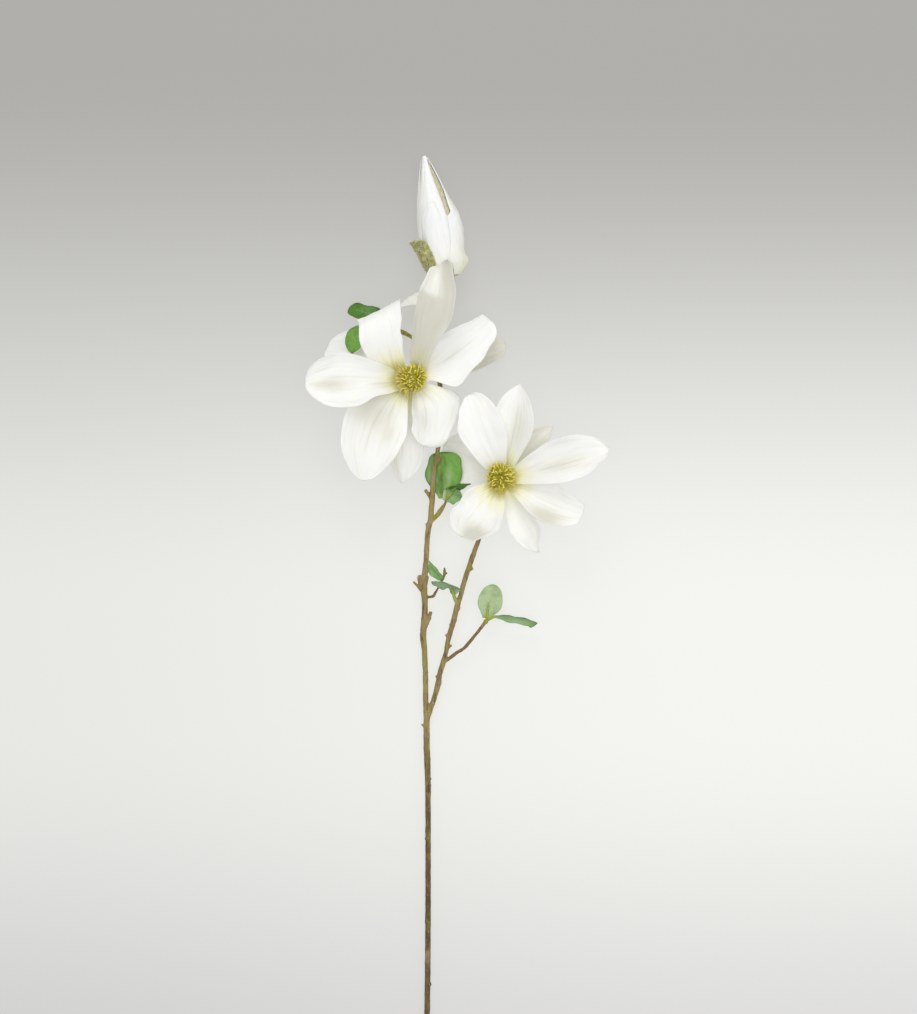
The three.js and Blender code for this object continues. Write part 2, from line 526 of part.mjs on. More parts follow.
function magnolia() {
  const group = new THREE.Group();
  const clearance = wood(GAP);
  group.add(meshOf('branch', wood(0), COLOURS.bark, 0.85));
  const upper = bloomPetals(UPPER_PETALS, UPPER_BLOOM).subtract(clearance);
  group.add(meshOf('upper_bloom_petals', upper, COLOURS.petal, 0.5));
  group.add(meshOf('upper_bloom_cone', bloomCone(UPPER_BLOOM, STAMEN.count), COLOURS.cone, 0.7));
  const lower = bloomPetals(LOWER_PETALS, LOWER_BLOOM).subtract(clearance);
  group.add(meshOf('lower_bloom_petals', lower, COLOURS.petal, 0.5));
  group.add(meshOf('lower_bloom_cone', bloomCone(LOWER_BLOOM, 0), COLOURS.cone, 0.7));
  group.add(meshOf('bud_petals', budPetals().subtract(clearance), COLOURS.petal, 0.5));
  group.add(meshOf('bud_bracts', budBracts().subtract(clearance), COLOURS.bract, 0.9));
  for (const [name, own] of Object.entries(LEAVES)) {
    group.add(meshOf(name, leaf(own).subtract(clearance), COLOURS.leaf, 0.55));
  }
  const box = new THREE.Box3().setFromObject(group);
  group.position.set(-(box.min.x + box.max.x) / 2, -(box.min.y + box.max.y) / 2, -box.min.z);
  return group;
}

export default magnolia();
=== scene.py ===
import math

import bpy
import numpy as np
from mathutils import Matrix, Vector, noise


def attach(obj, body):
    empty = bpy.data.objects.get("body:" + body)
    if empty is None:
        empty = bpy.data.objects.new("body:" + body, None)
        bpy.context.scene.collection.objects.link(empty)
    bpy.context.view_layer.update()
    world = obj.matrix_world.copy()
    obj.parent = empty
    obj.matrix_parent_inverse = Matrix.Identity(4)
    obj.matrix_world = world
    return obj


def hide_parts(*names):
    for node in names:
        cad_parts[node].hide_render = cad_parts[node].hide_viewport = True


bl_info = {
    "name": "Magnolia branch",
    "version": (1, 0, 0),
    "blender": (4, 5, 0),
    "location": "3D View > Sidebar > Magnolia",
    "description": "Builds a cut magnolia branch with two open blooms, a bud and nine leaves",
    "category": "Add Mesh",
}

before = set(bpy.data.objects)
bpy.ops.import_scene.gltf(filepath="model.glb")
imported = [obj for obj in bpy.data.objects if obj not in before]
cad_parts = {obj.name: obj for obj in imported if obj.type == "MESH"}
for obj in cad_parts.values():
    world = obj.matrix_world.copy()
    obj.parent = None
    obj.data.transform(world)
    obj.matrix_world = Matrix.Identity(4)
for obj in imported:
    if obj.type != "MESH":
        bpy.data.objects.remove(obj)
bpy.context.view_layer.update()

# Plan positions are in millimetres and hold for an eye straight above the branch, true at PLAN_HEIGHT.
MM = 0.001
EYE_HEIGHT = 2846.7
PLAN_HEIGHT = 30
SHIFT = np.array([1.4696, 109.8094, -0.1389])
LENS = 100
SENSOR = 36
STEPS = 16
TIP_HALF_WIDTH = 1.3
CREASE_HALF = 0.035
OPEN_BY = 0.35
REST_HEIGHT = 0.15
SEEDS = dict(carpels=7, carpel_turns=3, stamens=11, stamen_turns=5, hairs=21, hair_turns=13)

# A petal leaves the receptacle towards az at height h0, climbs at rise and ends at fall.
# widest is the place of its full width along the length, claw the share of it at the foot.
# A dent is (side, place along, millimetres, spread): the margin pushed out there, or in if negative.
# A shade is (place along, place across, two spreads, strength): a soft grey-green patch of painted shade.
# A light is the same, but a pale patch of painted highlight.
LEFT, RIGHT = 1, -1
# Besides its shade patches, a petal or leaf can have an even grey-green painted shade all over.
PETAL = dict(
    r0=5, h0=0, sweep=0, bend=1, roll=0, twist=0, claw=0.3, widest=0.6, point=0.5, left=1, right=1, fold=0,
    cup=30, curl_left=0, curl_right=0, wave=1, phase=0, frill=0.8, dusk=0, crease=0, crease_at=0.7,
    dents=(), shades=(), lights=(), groove=0.15, tint=1,
)
UPPER_PETALS = {
    "top": dict(az=79, foot_az=20, r0=8, length=125.5, width=42, rise=38, fall=0, bend=2, cup=40, sweep=-16,
        roll=-8, h0=6, point=0.5, widest=0.62, claw=0.4, left=0.85, crease=-30, crease_at=0.69, dusk=0.6,
        shades=((0.42, 0.65, 0.3, 1.1, 0.95), (0.61, 0.8, 0.1, 0.9, 0.8), (0.88, 0.2, 0.16, 1, 0.8)),
        dents=((LEFT, 0.965, -3, 0.03), (LEFT, 0.84, -1.5, 0.08), (LEFT, 0.7, 1.5, 0.05),
        (RIGHT, 0.88, -3.5, 0.09), (RIGHT, 0.55, 1.5, 0.1), (RIGHT, 0.28, -2.5, 0.12))),
    "right": dict(az=34.5, length=103.5, width=58, rise=34, fall=-14, cup=26, sweep=8, curl_right=20, h0=3,
        point=0.54, widest=0.46, right=1.1, left=0.7, phase=1, shades=((0.45, -0.15, 0.2, 0.2, 0.3),),
        tint=0.55, dents=((LEFT, 0.96, 3, 0.04), (LEFT, 0.8, -2, 0.08), (LEFT, 0.62, -2, 0.15),
        (RIGHT, 0.32, 6, 0.08), (RIGHT, 0.15, -4, 0.07), (RIGHT, 0.55, -3, 0.1), (RIGHT, 0.76, -5, 0.12))),
    "low_right": dict(az=-86, foot_az=-45, r0=8, length=66, width=52, rise=30, fall=-25, cup=20,
        curl_left=-40, sweep=-66, h0=5, widest=0.5, left=1.2, right=0.7, phase=2, tint=0.5, dusk=0.16,
        shades=((0.62, -0.3, 0.22, 0.5, 0.35), (0.3, -0.85, 0.25, 0.3, 0.7)), dents=((LEFT, 0.36, 8, 0.12),
        (LEFT, 0.72, -5, 0.14), (RIGHT, 0.86, 3, 0.1))),
    "low_left": dict(az=-115.5, length=112, width=66, rise=18, fall=-20, cup=22, sweep=48, h0=3, point=0.62,
        widest=0.5, left=0.9, right=1.1, phase=3, dusk=0.14, shades=((0.4, -0.1, 0.2, 0.6, 0.52),
        (0.3, -0.7, 0.2, 0.4, 0.3), (0.55, 0.45, 0.12, 0.2, 0.3), (0.04, 0, 0.12, 1.2, 0.5)),
        dents=((RIGHT, 0.45, 2, 0.2),)),
    "left": dict(az=183.2, length=105, width=62, rise=22, fall=-16, cup=38, h0=4.5, widest=0.62, point=0.56,
        phase=4, dusk=0.14, dents=((LEFT, 0.35, -4, 0.15), (RIGHT, 0.42, -4, 0.22),
        (RIGHT, 0.8, -1.5, 0.1)), shades=((0.78, 0.1, 0.2, 0.26, 0.6), (0.25, 0.3, 0.12, 0.3, 0.25),
        (0.04, 0, 0.15, 1.2, 0.6))),
    "folded": dict(az=108.5, foot_az=154, r0=11, length=94, width=50, rise=32, fall=-190, bend=3.5, cup=5,
        roll=-5, sweep=4, h0=6.5, point=0.4, claw=0.34, widest=0.82, right=0.86, phase=5, groove=0,
        wave=0.5, twist=-2, shades=((0.04, 0, 0.16, 1.2, 0.6),), dents=((LEFT, 0.45, 14.5, 0.2),
        (LEFT, 0.2, 11, 0.15), (RIGHT, 0.48, -7.5, 0.13), (RIGHT, 0.28, -3.5, 0.1), (RIGHT, 0.66, -2, 0.08),
        (RIGHT, 0.86, 5, 0.1))),
    "back_right": dict(az=20, length=107, width=38, rise=12, fall=-4.8, cup=26, sweep=10, point=0.45,
        right=0.7, phase=6, dusk=0.85),
    "back_left": dict(az=148, length=88, width=46, rise=-14, fall=-44, cup=26, sweep=6, phase=7,
        dents=((RIGHT, 0.8, 4, 0.15),), tint=0.3),
    "back_low": dict(az=-91.5, length=97, width=40, rise=-4, fall=-24, cup=40, point=0.8, phase=8, dusk=0.1,
        shades=((0.6, -0.7, 0.5, 0.5, 0.5),)),
    "back_top": dict(az=88, foot_az=40, r0=8, length=92, width=30, rise=14, fall=-20, cup=20, sweep=74,
        claw=0.4, widest=0.8, point=0.4, left=0.03, phase=9, dents=((LEFT, 0.94, 18, 0.045),
        (RIGHT, 0.7, -4, 0.2)), dusk=0.3),
}
LOWER_PETALS = {
    "top_left": dict(az=111, length=90, width=48, rise=42, fall=-15, cup=20, h0=6, point=0.42, widest=0.54,
        sweep=-4, phase=1, groove=0, tint=0.5, dents=((LEFT, 0.93, -5, 0.07), (LEFT, 0.8, -4, 0.1),
        (LEFT, 0.42, -4, 0.16))),
    "top_right": dict(az=78.5, length=95, width=46, rise=30, fall=2, cup=28, h0=2, point=0.95, widest=0.58,
        sweep=2, roll=-10, phase=2, shades=((0.55, -0.35, 0.32, 0.5, 0.55),), dents=((LEFT, 0.72, -3, 0.14),
        (RIGHT, 0.55, 2.5, 0.16))),
    "right": dict(az=14.5, length=111, width=47, rise=28, fall=0, cup=34, h0=5, point=0.55, phase=3,
        shades=((0.55, -0.15, 0.3, 0.45, 0.5),), dusk=0.04, dents=((RIGHT, 0.9, -2.5, 0.05),)),
    "low_right": dict(az=-22.5, length=85, width=46, rise=24, fall=-18, cup=30, h0=2.5, point=0.32,
        widest=0.66, phase=4, shades=((0.6, -0.75, 0.24, 0.42, 0.9),), dusk=0.04,
        dents=((LEFT, 0.78, -11, 0.2), (RIGHT, 0.5, 3, 0.2), (RIGHT, 0.92, -1, 0.06))),
    "low_left": dict(az=-125, length=66.5, width=52, rise=25, fall=-10, cup=36, h0=5, point=0.42, left=1.18,
        phase=5, dusk=0.12, shades=((0.88, 0.5, 0.16, 0.6, 1),), dents=((LEFT, 0.86, -5, 0.12),
        (RIGHT, 0.6, -5, 0.14), (RIGHT, 0.88, -1.5, 0.06))),
    "back_right": dict(az=48.5, length=69, width=22, rise=6, fall=-14, cup=40, point=1, left=1.3, phase=6,
        dusk=0.6, tint=0.1),
    "back_low": dict(az=-64, length=76, width=34, rise=-4, fall=-24, cup=30, point=1, sweep=-4, phase=7,
        tint=0.6, dents=((LEFT, 0.55, -4, 0.25), (LEFT, 0.85, -3.5, 0.1))),
    "back_left": dict(az=150, length=70, width=52, rise=-17, fall=-11, cup=12, point=0.45, phase=8, tint=0),
}
PETAL_GRID = (96, 60)
PETAL_VEINS = 6
# Each bloom's place, lean and petals, its cone's size beside the plain one, and where its cone's foot is.
BLOOMS = {
    "upper_bloom": dict(x=-52, y=125.5, z=33, lean_right=18, lean_up=10, petals=UPPER_PETALS, cone=1.12,
        offset=[2.2, -0.2, 0]),
    "lower_bloom": dict(x=44.5, y=26.5, z=31, lean_right=-8, lean_up=6, petals=LOWER_PETALS, cone=1.17,
        offset=[-0.3, 1.4, 0]),
}

RECEPTACLE = [(0, -5), (3.4, -5), (7.6, -1), (8, 3), (6.6, 7), (0, 7.4)]
RECEPTACLE_GRID = (28, 36)
CONE_CORE = [(0, 7.7), (3.8, 7.7), (5, 12), (8.6, 15), (10.4, 18.4), (9.4, 22), (5.4, 24.4), (0, 25.2)]
CONE_GRID = (30, 32)
GOLDEN_ANGLE = math.pi * (3 - math.sqrt(5))
# Carpels grow from a small ball: its centre's height, its radius, and the lowest climb in degrees.
CARPEL_CENTRE = 15
CARPEL_REACH = 7
CARPEL_LOWEST = 6
CARPEL_SHAPE = dict(radius=0.00098, length=0.007, sides=6, rings=6, bend=0.0024, bulge=0.3)
# Long stamens fan out over these azimuths and climbs, in degrees. Short ones ring the cone.
FAN_START, FAN_SPREAD = 135, 115
FAN_LOWEST, FAN_CLIMB = 14, 18
STAMEN_START = 6.5
STAMEN_HEIGHT = 15
RING_STAMENS = 52
RING_START = 4.8
RING_HEIGHT = 9
STAMEN_SHAPE = dict(radius=0.00062, length=0.0125, sides=6, rings=5, bend=0.0012, bulge=0.2)

BUD_FOOT = [-9.3, 230, 24.9]
BUD_TIP = [-33.2, 351, 19.5]
BUD_FLAT = 0.92
BUD_RADII = [(0, 9), (0.04, 15), (0.1, 19.6), (0.2, 21.8), (0.34, 21.6), (0.5, 19.6), (0.64, 15.8),
             (0.8, 10), (0.92, 5.5), (1, 2.8)]
BUD_GRID = (84, 56)
BUD_VEINS = 7
HEART_GRID = (60, 40)
HEART_INSET = 2.2
BUD_PETAL = dict(part=0, narrow=0, tip=0, lift=0, sink=0, heel=0)
# at is where a petal's middle is round the bud and half is how far it reaches to each side, in degrees.
# part and narrow take a share of a petal's spread from its left or right side, and so open the slit.
BUD_PETALS = {
    "right": dict(at=-8, half=113, start=0.005, end=0.99, layer=1, part=0.78, heel=2.6),
    "left": dict(at=140, half=102, start=0.02, end=1, layer=2, narrow=0.24),
    "low_left": dict(at=198, half=46, start=0.02, end=0.975, layer=3, lift=1, tip=0.6),
    "front": dict(at=98, half=48, start=0.03, end=0.6, layer=3, lift=2.4, tip=0.6, sink=3.4),
}
BRACTS = {
    "left": dict(at=151, half=38, length=43, foot=1.8, flare=7.2, skew=0.02),
    "under": dict(at=254, half=28, length=22, foot=3.6, flare=0.2, skew=0),
}
BRACT_CUP = [(0, -7), (4, -7), (4.7, -4.6), (4.9, -2.2), (4.7, 1), (0, 1)]
CUP_GRID = (26, 30)
BRACT_START = -3
BRACT_ROOT = 3.7
BRACT_GRID = (44, 36)
BRACT_THICKNESS = 0.0012
BRACT_EDGE = 0.5
STRAND_TURNS = (0.6, -0.75)
HAIR_ROWS = 60
HAIR_SHAPE = dict(radius=0.00018, length=0.0028, sides=3, rings=3, bend=0.0005, bulge=0)

# Wood: each run is a list of [x, y, z, radius], thick end first.
LIMBS = {
    "main_stem": [
        [-33, -567, 2.75, 2.6], [-31.4, -507, 3.4, 2.6], [-30.5, -420, 4.4, 2.6], [-30.4, -343, 5.4, 2.5],
        [-30.6, -271, 6.4, 2.6], [-31.2, -254, 6.6, 3], [-31.8, -240, 6.8, 2.8], [-32, -213, 7.2, 2.9],
        [-32.6, -200, 7.6, 2.5], [-33, -168, 8.2, 2.4], [-34, -143, 8.8, 2.5], [-35.4, -129, 9.2, 3],
        [-34.2, -112, 9.6, 2.8], [-33.6, -97, 10, 2.7], [-34.6, -80, 10.6, 3.2], [-34, -70, 10.9, 3],
        [-32.4, -53, 11.4, 2.4], [-30.6, -25, 12.6, 2.5], [-28, -12, 13.2, 2.6], [-26.8, 2, 14, 2.5],
        [-26, 14, 14.6, 2.6], [-24.5, 34, 15.6, 2.1], [-21.5, 52, 16, 1.8], [-18.5, 75, 15, 2.1],
        [-17.5, 105, 13.5, 2.1], [-18.5, 124, 13, 2.3], [-20, 160, 13.6, 2.1], [-19, 192, 16, 2.2],
        [-12.6, 214, 22, 2.5], [-10.4, 222.4, 24, 2.9], [-9.7, 226, 24.6, 3.4]],
    "lower_branch": [
        [-31.2, -211, 7.3, 2.4], [-28.6, -203, 7.4, 2.5], [-25.6, -195, 7.4, 2.3], [-22.9, -186, 7.5, 2.3],
        [-20.2, -176, 7.7, 2.7], [-18.9, -168, 7.9, 2.3], [-15.4, -156, 8.2, 2.5], [-12.9, -147, 8.4, 2.1],
        [-9.8, -131, 8.8, 2.2], [-5.2, -115, 9.2, 2.4], [-1.2, -99, 9.6, 2.7], [2.3, -88, 9.8, 2.1],
        [5.6, -75, 10.1, 2.3], [11.2, -58, 10.4, 2.4], [19.5, -35, 10.6, 2.1], [29, -10, 11, 2.1],
        [38.5, 10, 13.6, 2.1], [44, 22, 20, 2.4], [44.9, 26.1, 26.6, 3]],
    "bloom_stalk": [
        [-18.2, 88, 14.4, 2], [-22.5, 103, 14.6, 2], [-34, 116, 16, 2.1], [-45, 121.5, 20, 2.3],
        [-52.7, 124.6, 28.6, 3]],
    "side_twig": [
        [-14.5, -155, 8.2, 1.7], [-8, -150.5, 8.8, 1.5], [-0.7, -145, 10, 1.6], [4.5, -142, 10.8, 1.5],
        [18.2, -126.4, 13, 1.4], [26.2, -116, 14.8, 1.5], [27.6, -114.4, 15, 2.3],
        [28.4, -113.4, 15.2, 1.6]],
    "leaf_twig": [
        [-19, 160, 13.5, 1.6], [-38, 164.5, 14.5, 1.4], [-53, 173.5, 16.5, 1.9], [-70, 180, 22, 1.3],
        [-86, 182.8, 28.2, 1.3], [-88, 183, 29, 2.2], [-89.2, 183.1, 29.4, 1.5]],
    "cluster_stalk": [
        [-29.4, -16, 13, 1.8], [-24.4, -11.4, 12.8, 1.7], [-19.4, -6, 12.6, 2.2], [-16, -0.6, 12.8, 1.9],
        [-13.8, 2.6, 14.2, 1.1], [-12.6, 6, 16, 1.1], [-11, 9.2, 17.4, 1.4], [-10, 10.6, 17.8, 1]],
    "thin_twig": [
        [-33.4, -90, 10.2, 1.2], [-28, -90, 10.8, 1.1], [-25, -89, 11.4, 1.3], [-23.6, -86.5, 11.8, 1],
        [-19.1, -79, 13, 0.9], [-14.6, -69, 15, 1.1], [-13.9, -64, 16, 0.9], [-14, -60.6, 17, 0.6]],
}
# Green wood and dry brown wood: the limb, and the shares of its length between which it is so.
YOUNG = {"cluster_stalk": (0.15, 1), "leaf_twig": (0.2, 1), "side_twig": (0.93, 1)}
DRY = {"thin_twig": (0.12, 1), "side_twig": (0.1, 0.72)}
# Stubs, thorns and nodules: foot, end, radius at the foot and at the end.
STUBS = [
    ([-30.5, -478, 3.7], [-27.4, -477, 4.6], 1.9, 1.1), ([-30.3, -410, 4.6], [-29.4, -408, 6.4], 1.9, 1.2),
    ([-30.4, -333, 5.6], [-33.4, -331, 6.2], 1.9, 1), ([-30.4, -273, 6.4], [-27.4, -271, 7], 1.9, 1),
    ([-32, -223, 7.2], [-36.8, -217, 8.2], 1.5, 0.5), ([-32.8, -190, 7.8], [-35.4, -189.4, 8.2], 1.6, 0.8),
    ([-35.4, -132, 9], [-37.6, -127, 9.6], 2, 1.2), ([-35.6, -122, 9], [-37.2, -119, 9.6], 1.8, 1),
    ([-33.8, -120, 9.4], [-29.2, -110, 11.4], 2.6, 2.2), ([-29.8, -111, 11.2], [-27.4, -104.6, 12], 2, 1.3),
    ([-35.2, -83, 10.4], [-38.5, -70.4, 11], 3.4, 3), ([-38.5, -70.8, 11], [-38.9, -68, 11], 3, 1.7),
    ([-34, -78, 10.6], [-32, -69, 12], 2.6, 2.2),
    ([-36.4, -84, 10.6], [-45.3, -74.4, 12.4], 1.4, 1), ([-27, 8, 14.2], [-33.4, 17.5, 15.2], 2, 1.4),
    ([-23, 44, 15.8], [-16.2, 50, 17], 1.7, 0.7), ([-19.4, -172.6, 7.8], [-22.3, -168.4, 8.4], 1.7, 1),
    ([-19.6, -178, 7.6], [-17.9, -175, 8.8], 1.8, 1.2), ([-11.6, -141, 8.6], [-6.4, -138, 9.8], 1.5, 0.7),
    ([-10, -131, 8.8], [-12.6, -127.4, 9.2], 1.5, 0.9), ([-6.6, -119, 9.2], [-8.7, -116.4, 9.6], 1.7, 1),
    ([-1, -101, 9.6], [1.6, -102, 10.2], 2, 1.4), ([11.8, -60, 10.4], [13.8, -63, 11], 2, 1.3),
    ([-14.6, -68, 15], [-11, -65.6, 15.6], 0.9, 0.6), ([-30.4, -24, 12.6], [-31.8, -16, 12.8], 1.8, 1.2),
]
GROWTH = 0.32
LIMB_SIDES, LIMB_SPACING = 14, 3
TWIG_SIDES, TWIG_SPACING = 10, 1
# How fast the bark's lumps, grain and rings change along x, y and z.
BARK_LUMPS = (0.22, 0.09, 0.22)
BARK_GRAIN = (1.1, 0.3, 1.1)
BARK_RINGS = (0.02, 0.8, 0.02)

LEAF = {**PETAL, **dict(r0=0, claw=0.14, point=0.8, widest=0.45, cup=20, wave=0.5, frill=0.3)}
# A leaf's blade starts at its foot. Its stalk starts on the twig, or is a petiole with stations of its own.
LEAVES = {
    "leaf_upper_left_top": dict(foot=[-77, 188.5, 31.5], stalk=[-88, 183, 29], az=164, length=36, width=21,
        rise=8, fall=-30, cup=24, roll=28, sweep=18, point=0.4, dents=((RIGHT, 0.12, 5, 0.14),
        (RIGHT, 0.55, -3, 0.2))),
    "leaf_upper_left_low": dict(foot=[-94, 182.5, 33], stalk=[-88, 183, 29], az=247, length=33, width=20,
        rise=6, fall=-25, roll=-12, sweep=46, phase=1),
    "leaf_cluster_round": dict(foot=[-13.4, 8.6, 13.6], az=92, length=46.6, width=39, rise=0, fall=-2,
        claw=0.34, point=0.26, widest=0.5, roll=-14, cup=14, wave=0.2, dents=((RIGHT, 0.84, 1.6, 0.12),
        (LEFT, 0.78, -2, 0.14)), petiole=[[-10.6, 9.8, 17, 0.8], [-12, 10.8, 16, 0.7],
        [-13.4, 12.2, 14.6, 0.5]], shades=((0.42, 0.16, 0.2, 0.13, 1), (0.14, 0.3, 0.15, 0.3, 0.9),
        (0.75, -0.02, 0.2, 0.1, 0.5), (0.5, 1, 0.5, 0.12, 0.6)), lights=((0.46, -0.28, 0.2, 0.17, 0.8),
        (0.45, 0.78, 0.18, 0.14, 0.5), (0.18, -0.1, 0.08, 0.2, 0.6))),
    "leaf_cluster_edge": dict(foot=[-12, 17.4, 16.6], az=14, length=25, width=13, rise=8, fall=-5, roll=60,
        phase=1, widest=0.35, point=1.1, claw=0.3, petiole=[[-10.4, 10, 17.2, 0.9], [-11.8, 14, 17, 0.7],
        [-11, 17.6, 16.8, 0.4]]),
    "leaf_cluster_low": dict(foot=[-15.6, 12.2, 15.6], az=-8, length=20, width=14, rise=6, fall=-14,
        roll=-12, phase=2, claw=0.7, widest=0.35, point=0.7, dents=((RIGHT, 0.56, 2.4, 0.12),
        (LEFT, 0.8, 2, 0.2)), petiole=[[-10.6, 9.6, 17.2, 1], [-9, 12, 17.8, 0.9], [-5.4, 14.4, 17.4, 0.5]],
        shades=((0.85, 0.1, 0.2, 0.6, 0.7),), lights=((0.1, 0.1, 0.24, 0.8, 1), (0.4, 0.3, 0.1, 0.3, 0.5))),
    "leaf_middle_narrow": dict(foot=[-31.4, -57, 12.4], stalk=[-33, -54.6, 11.4], az=-46, length=22,
        width=12.4, rise=20, fall=-10, roll=40, widest=0.4, phase=3, claw=0.85, point=0.5,
        shades=((0.4, 0.1, 0.5, 0.25, 0.5),)),
    "leaf_middle_folded": dict(foot=[1.6, -83.4, 14], az=163, length=31, width=16, rise=16, fall=-6,
        fold=24, roll=-52, phase=4, claw=0.8, widest=0.2, point=0.4, sweep=40,
        petiole=[[-0.9, -98.5, 9.8, 1.3], [-3, -93, 11.5, 1.9], [-5, -87.5, 13.4, 1.7],
        [-6.6, -82, 16, 0.9]], dents=((LEFT, 0.4, -3.4, 0.11), (RIGHT, 0.4, -3.4, 0.11))),
    "leaf_right_round": dict(foot=[27.6, -111.4, 17.4], az=76.5, length=35, width=25, rise=10, fall=-6,
        point=0.5, claw=0.3, widest=0.44, phase=5, petiole=[[27.7, -114.4, 15.2, 0.9],
        [28.3, -110.4, 18.4, 1.3], [29.2, -103.5, 20.2, 1.1], [30.2, -95.5, 21.2, 0.4]]),
    "leaf_right_flat": dict(foot=[37, -109.6, 16.6], az=-10, length=43, width=15, rise=8, fall=-18, roll=58,
        cup=22, phase=6, point=0.24, sweep=-14, claw=0.35, widest=0.4, dents=((RIGHT, 0.93, 4, 0.07),
        (LEFT, 0.75, -1.5, 0.2)), shades=((0.5, 1, 0.7, 0.5, 1), (0.95, 0, 0.12, 0.8, 0.5)),
        lights=((0.5, -0.6, 0.3, 0.5, 0.6),), petiole=[[27.6, -114.4, 15, 1.2], [31, -112, 16, 1.5],
        [36, -109.8, 17.2, 1.4], [42, -109.2, 18.2, 0.6]]),
}
LEAF_GRID = (56, 36)
LEAF_EDGE = 0.6
RIB_STEPS = 12
RIB_DROP = 0.35
# Which finish each leaf shows from above and from below.
LEAF_FACES = {
    "leaf_upper_left_top": ("leaf_deep", "leaf_pale"), "leaf_upper_left_low": ("leaf_bright", "leaf_pale"),
    "leaf_cluster_round": ("leaf_bright", "leaf_pale"), "leaf_cluster_edge": ("leaf_deep", "leaf_pale"),
    "leaf_cluster_low": ("leaf_cool", "leaf_pale"), "leaf_middle_narrow": ("leaf_cool", "leaf_pale"),
    "leaf_middle_folded": ("leaf_grey", "leaf_pale"), "leaf_right_round": ("leaf_pale", "leaf_bright"),
    "leaf_right_flat": ("leaf_cool", "leaf_bright"),
}

FLOOR_SIZE = 14
# Painted shade: the floor greys to these colours towards its ends and on its left.
FLOOR_GREY = (0.7, 0.7, 0.69)
FLOOR_SHADE = (0.76, 0.77, 0.77)
ROOM_COLOUR = (1, 1, 0.985, 1)
LIGHTS = {"above": ((0.3, 0, 2.5), 2.2), "key": ((-0.3, 2.2, 1.7), 1.2), "fill": ((1.6, -0.6, 1.3), 1.2)}
LIGHT_AIM = (0, 0.1, 0)
CLIP_END = 60


def rgb(red, green, blue):
    """A screen colour from 0 to 255 as the linear colour that a shader takes."""
    shares = [value / 255 for value in (red, green, blue)]
    return tuple(s / 12.92 if s <= 0.04045 else ((s + 0.055) / 1.055) ** 2.4 for s in shares)


def spot(position):
    """A plan position as a place in space, in millimetres, before the branch is centred."""
    x, y, z = position[:3]
    spread = (EYE_HEIGHT - z) / (EYE_HEIGHT - PLAN_HEIGHT)
    return np.array([x * spread, y * spread, z], float)


def settle(points):
    """Millimetres to metres in the part's frame, with nothing lower than the surface it lies on."""
    placed = points + SHIFT
    placed[..., 2] = np.maximum(placed[..., 2], REST_HEIGHT)
    return placed * MM


def smoothstep(value, low, high):
    """From 0 at low to 1 at high, level at both."""
    share = np.clip((value - low) / (high - low), 0, 1)
    return share * share * (3 - 2 * share)


def bump(value, at, spread):
    """A soft hump, 1 high where the value is at its place."""
    return np.exp(-(((value - at) / spread) ** 2))


def unit(vectors):
    """The same directions at length 1."""
    return vectors / np.maximum(np.linalg.norm(vectors, axis=-1, keepdims=True), 1e-9)


def round_points(radius, height, angle):
    """Places at a radius, height and angle about +Z."""
    return np.stack([radius * np.cos(angle), radius * np.sin(angle), height], -1)


def waves(u, v, seed, low, high, count=6):
    """Smooth uneven waves from about -1 to 1 over two coordinates."""
    rng = np.random.default_rng(seed)
    total = np.zeros(np.broadcast(u, v).shape)
    for _ in range(count):
        angle, offset = rng.uniform(0, 2 * math.pi, 2)
        pitch = rng.uniform(low, high) * 2 * math.pi
        total = total + np.sin(pitch * (u * math.cos(angle) + v * math.sin(angle)) + offset)
    return total / math.sqrt(count * 2)


def width_share(u, p):
    """Width along a blade: a narrow claw, its widest place, then a rounded tip."""
    rising = p["claw"] + (1 - p["claw"]) * smoothstep(u, 0, p["widest"]) ** 0.8
    beyond = np.clip((u - p["widest"]) / (1 - p["widest"]), 0, 1)
    falling = np.maximum(1 - beyond**2.2, 0) ** p["point"]
    return np.where(u < p["widest"], rising, falling)


def heading(u, v, p):
    """The directions along and across a petal or leaf at each place on it."""
    creased = smoothstep(u, p["crease_at"] - CREASE_HALF, p["crease_at"] + CREASE_HALF)
    creased = creased * smoothstep(v, -0.9, 0.3)
    climb = np.radians(p["rise"] + (p["fall"] - p["rise"]) * u ** p["bend"] + p["crease"] * creased)
    turn = np.radians(p["az"] + p["sweep"] * (u - 0.5))
    level = np.cos(climb)
    along = np.stack([level * np.cos(turn), level * np.sin(turn), np.sin(climb)], -1)
    side = np.stack([-np.sin(turn), np.cos(turn), np.zeros_like(turn)], -1)
    return along, side


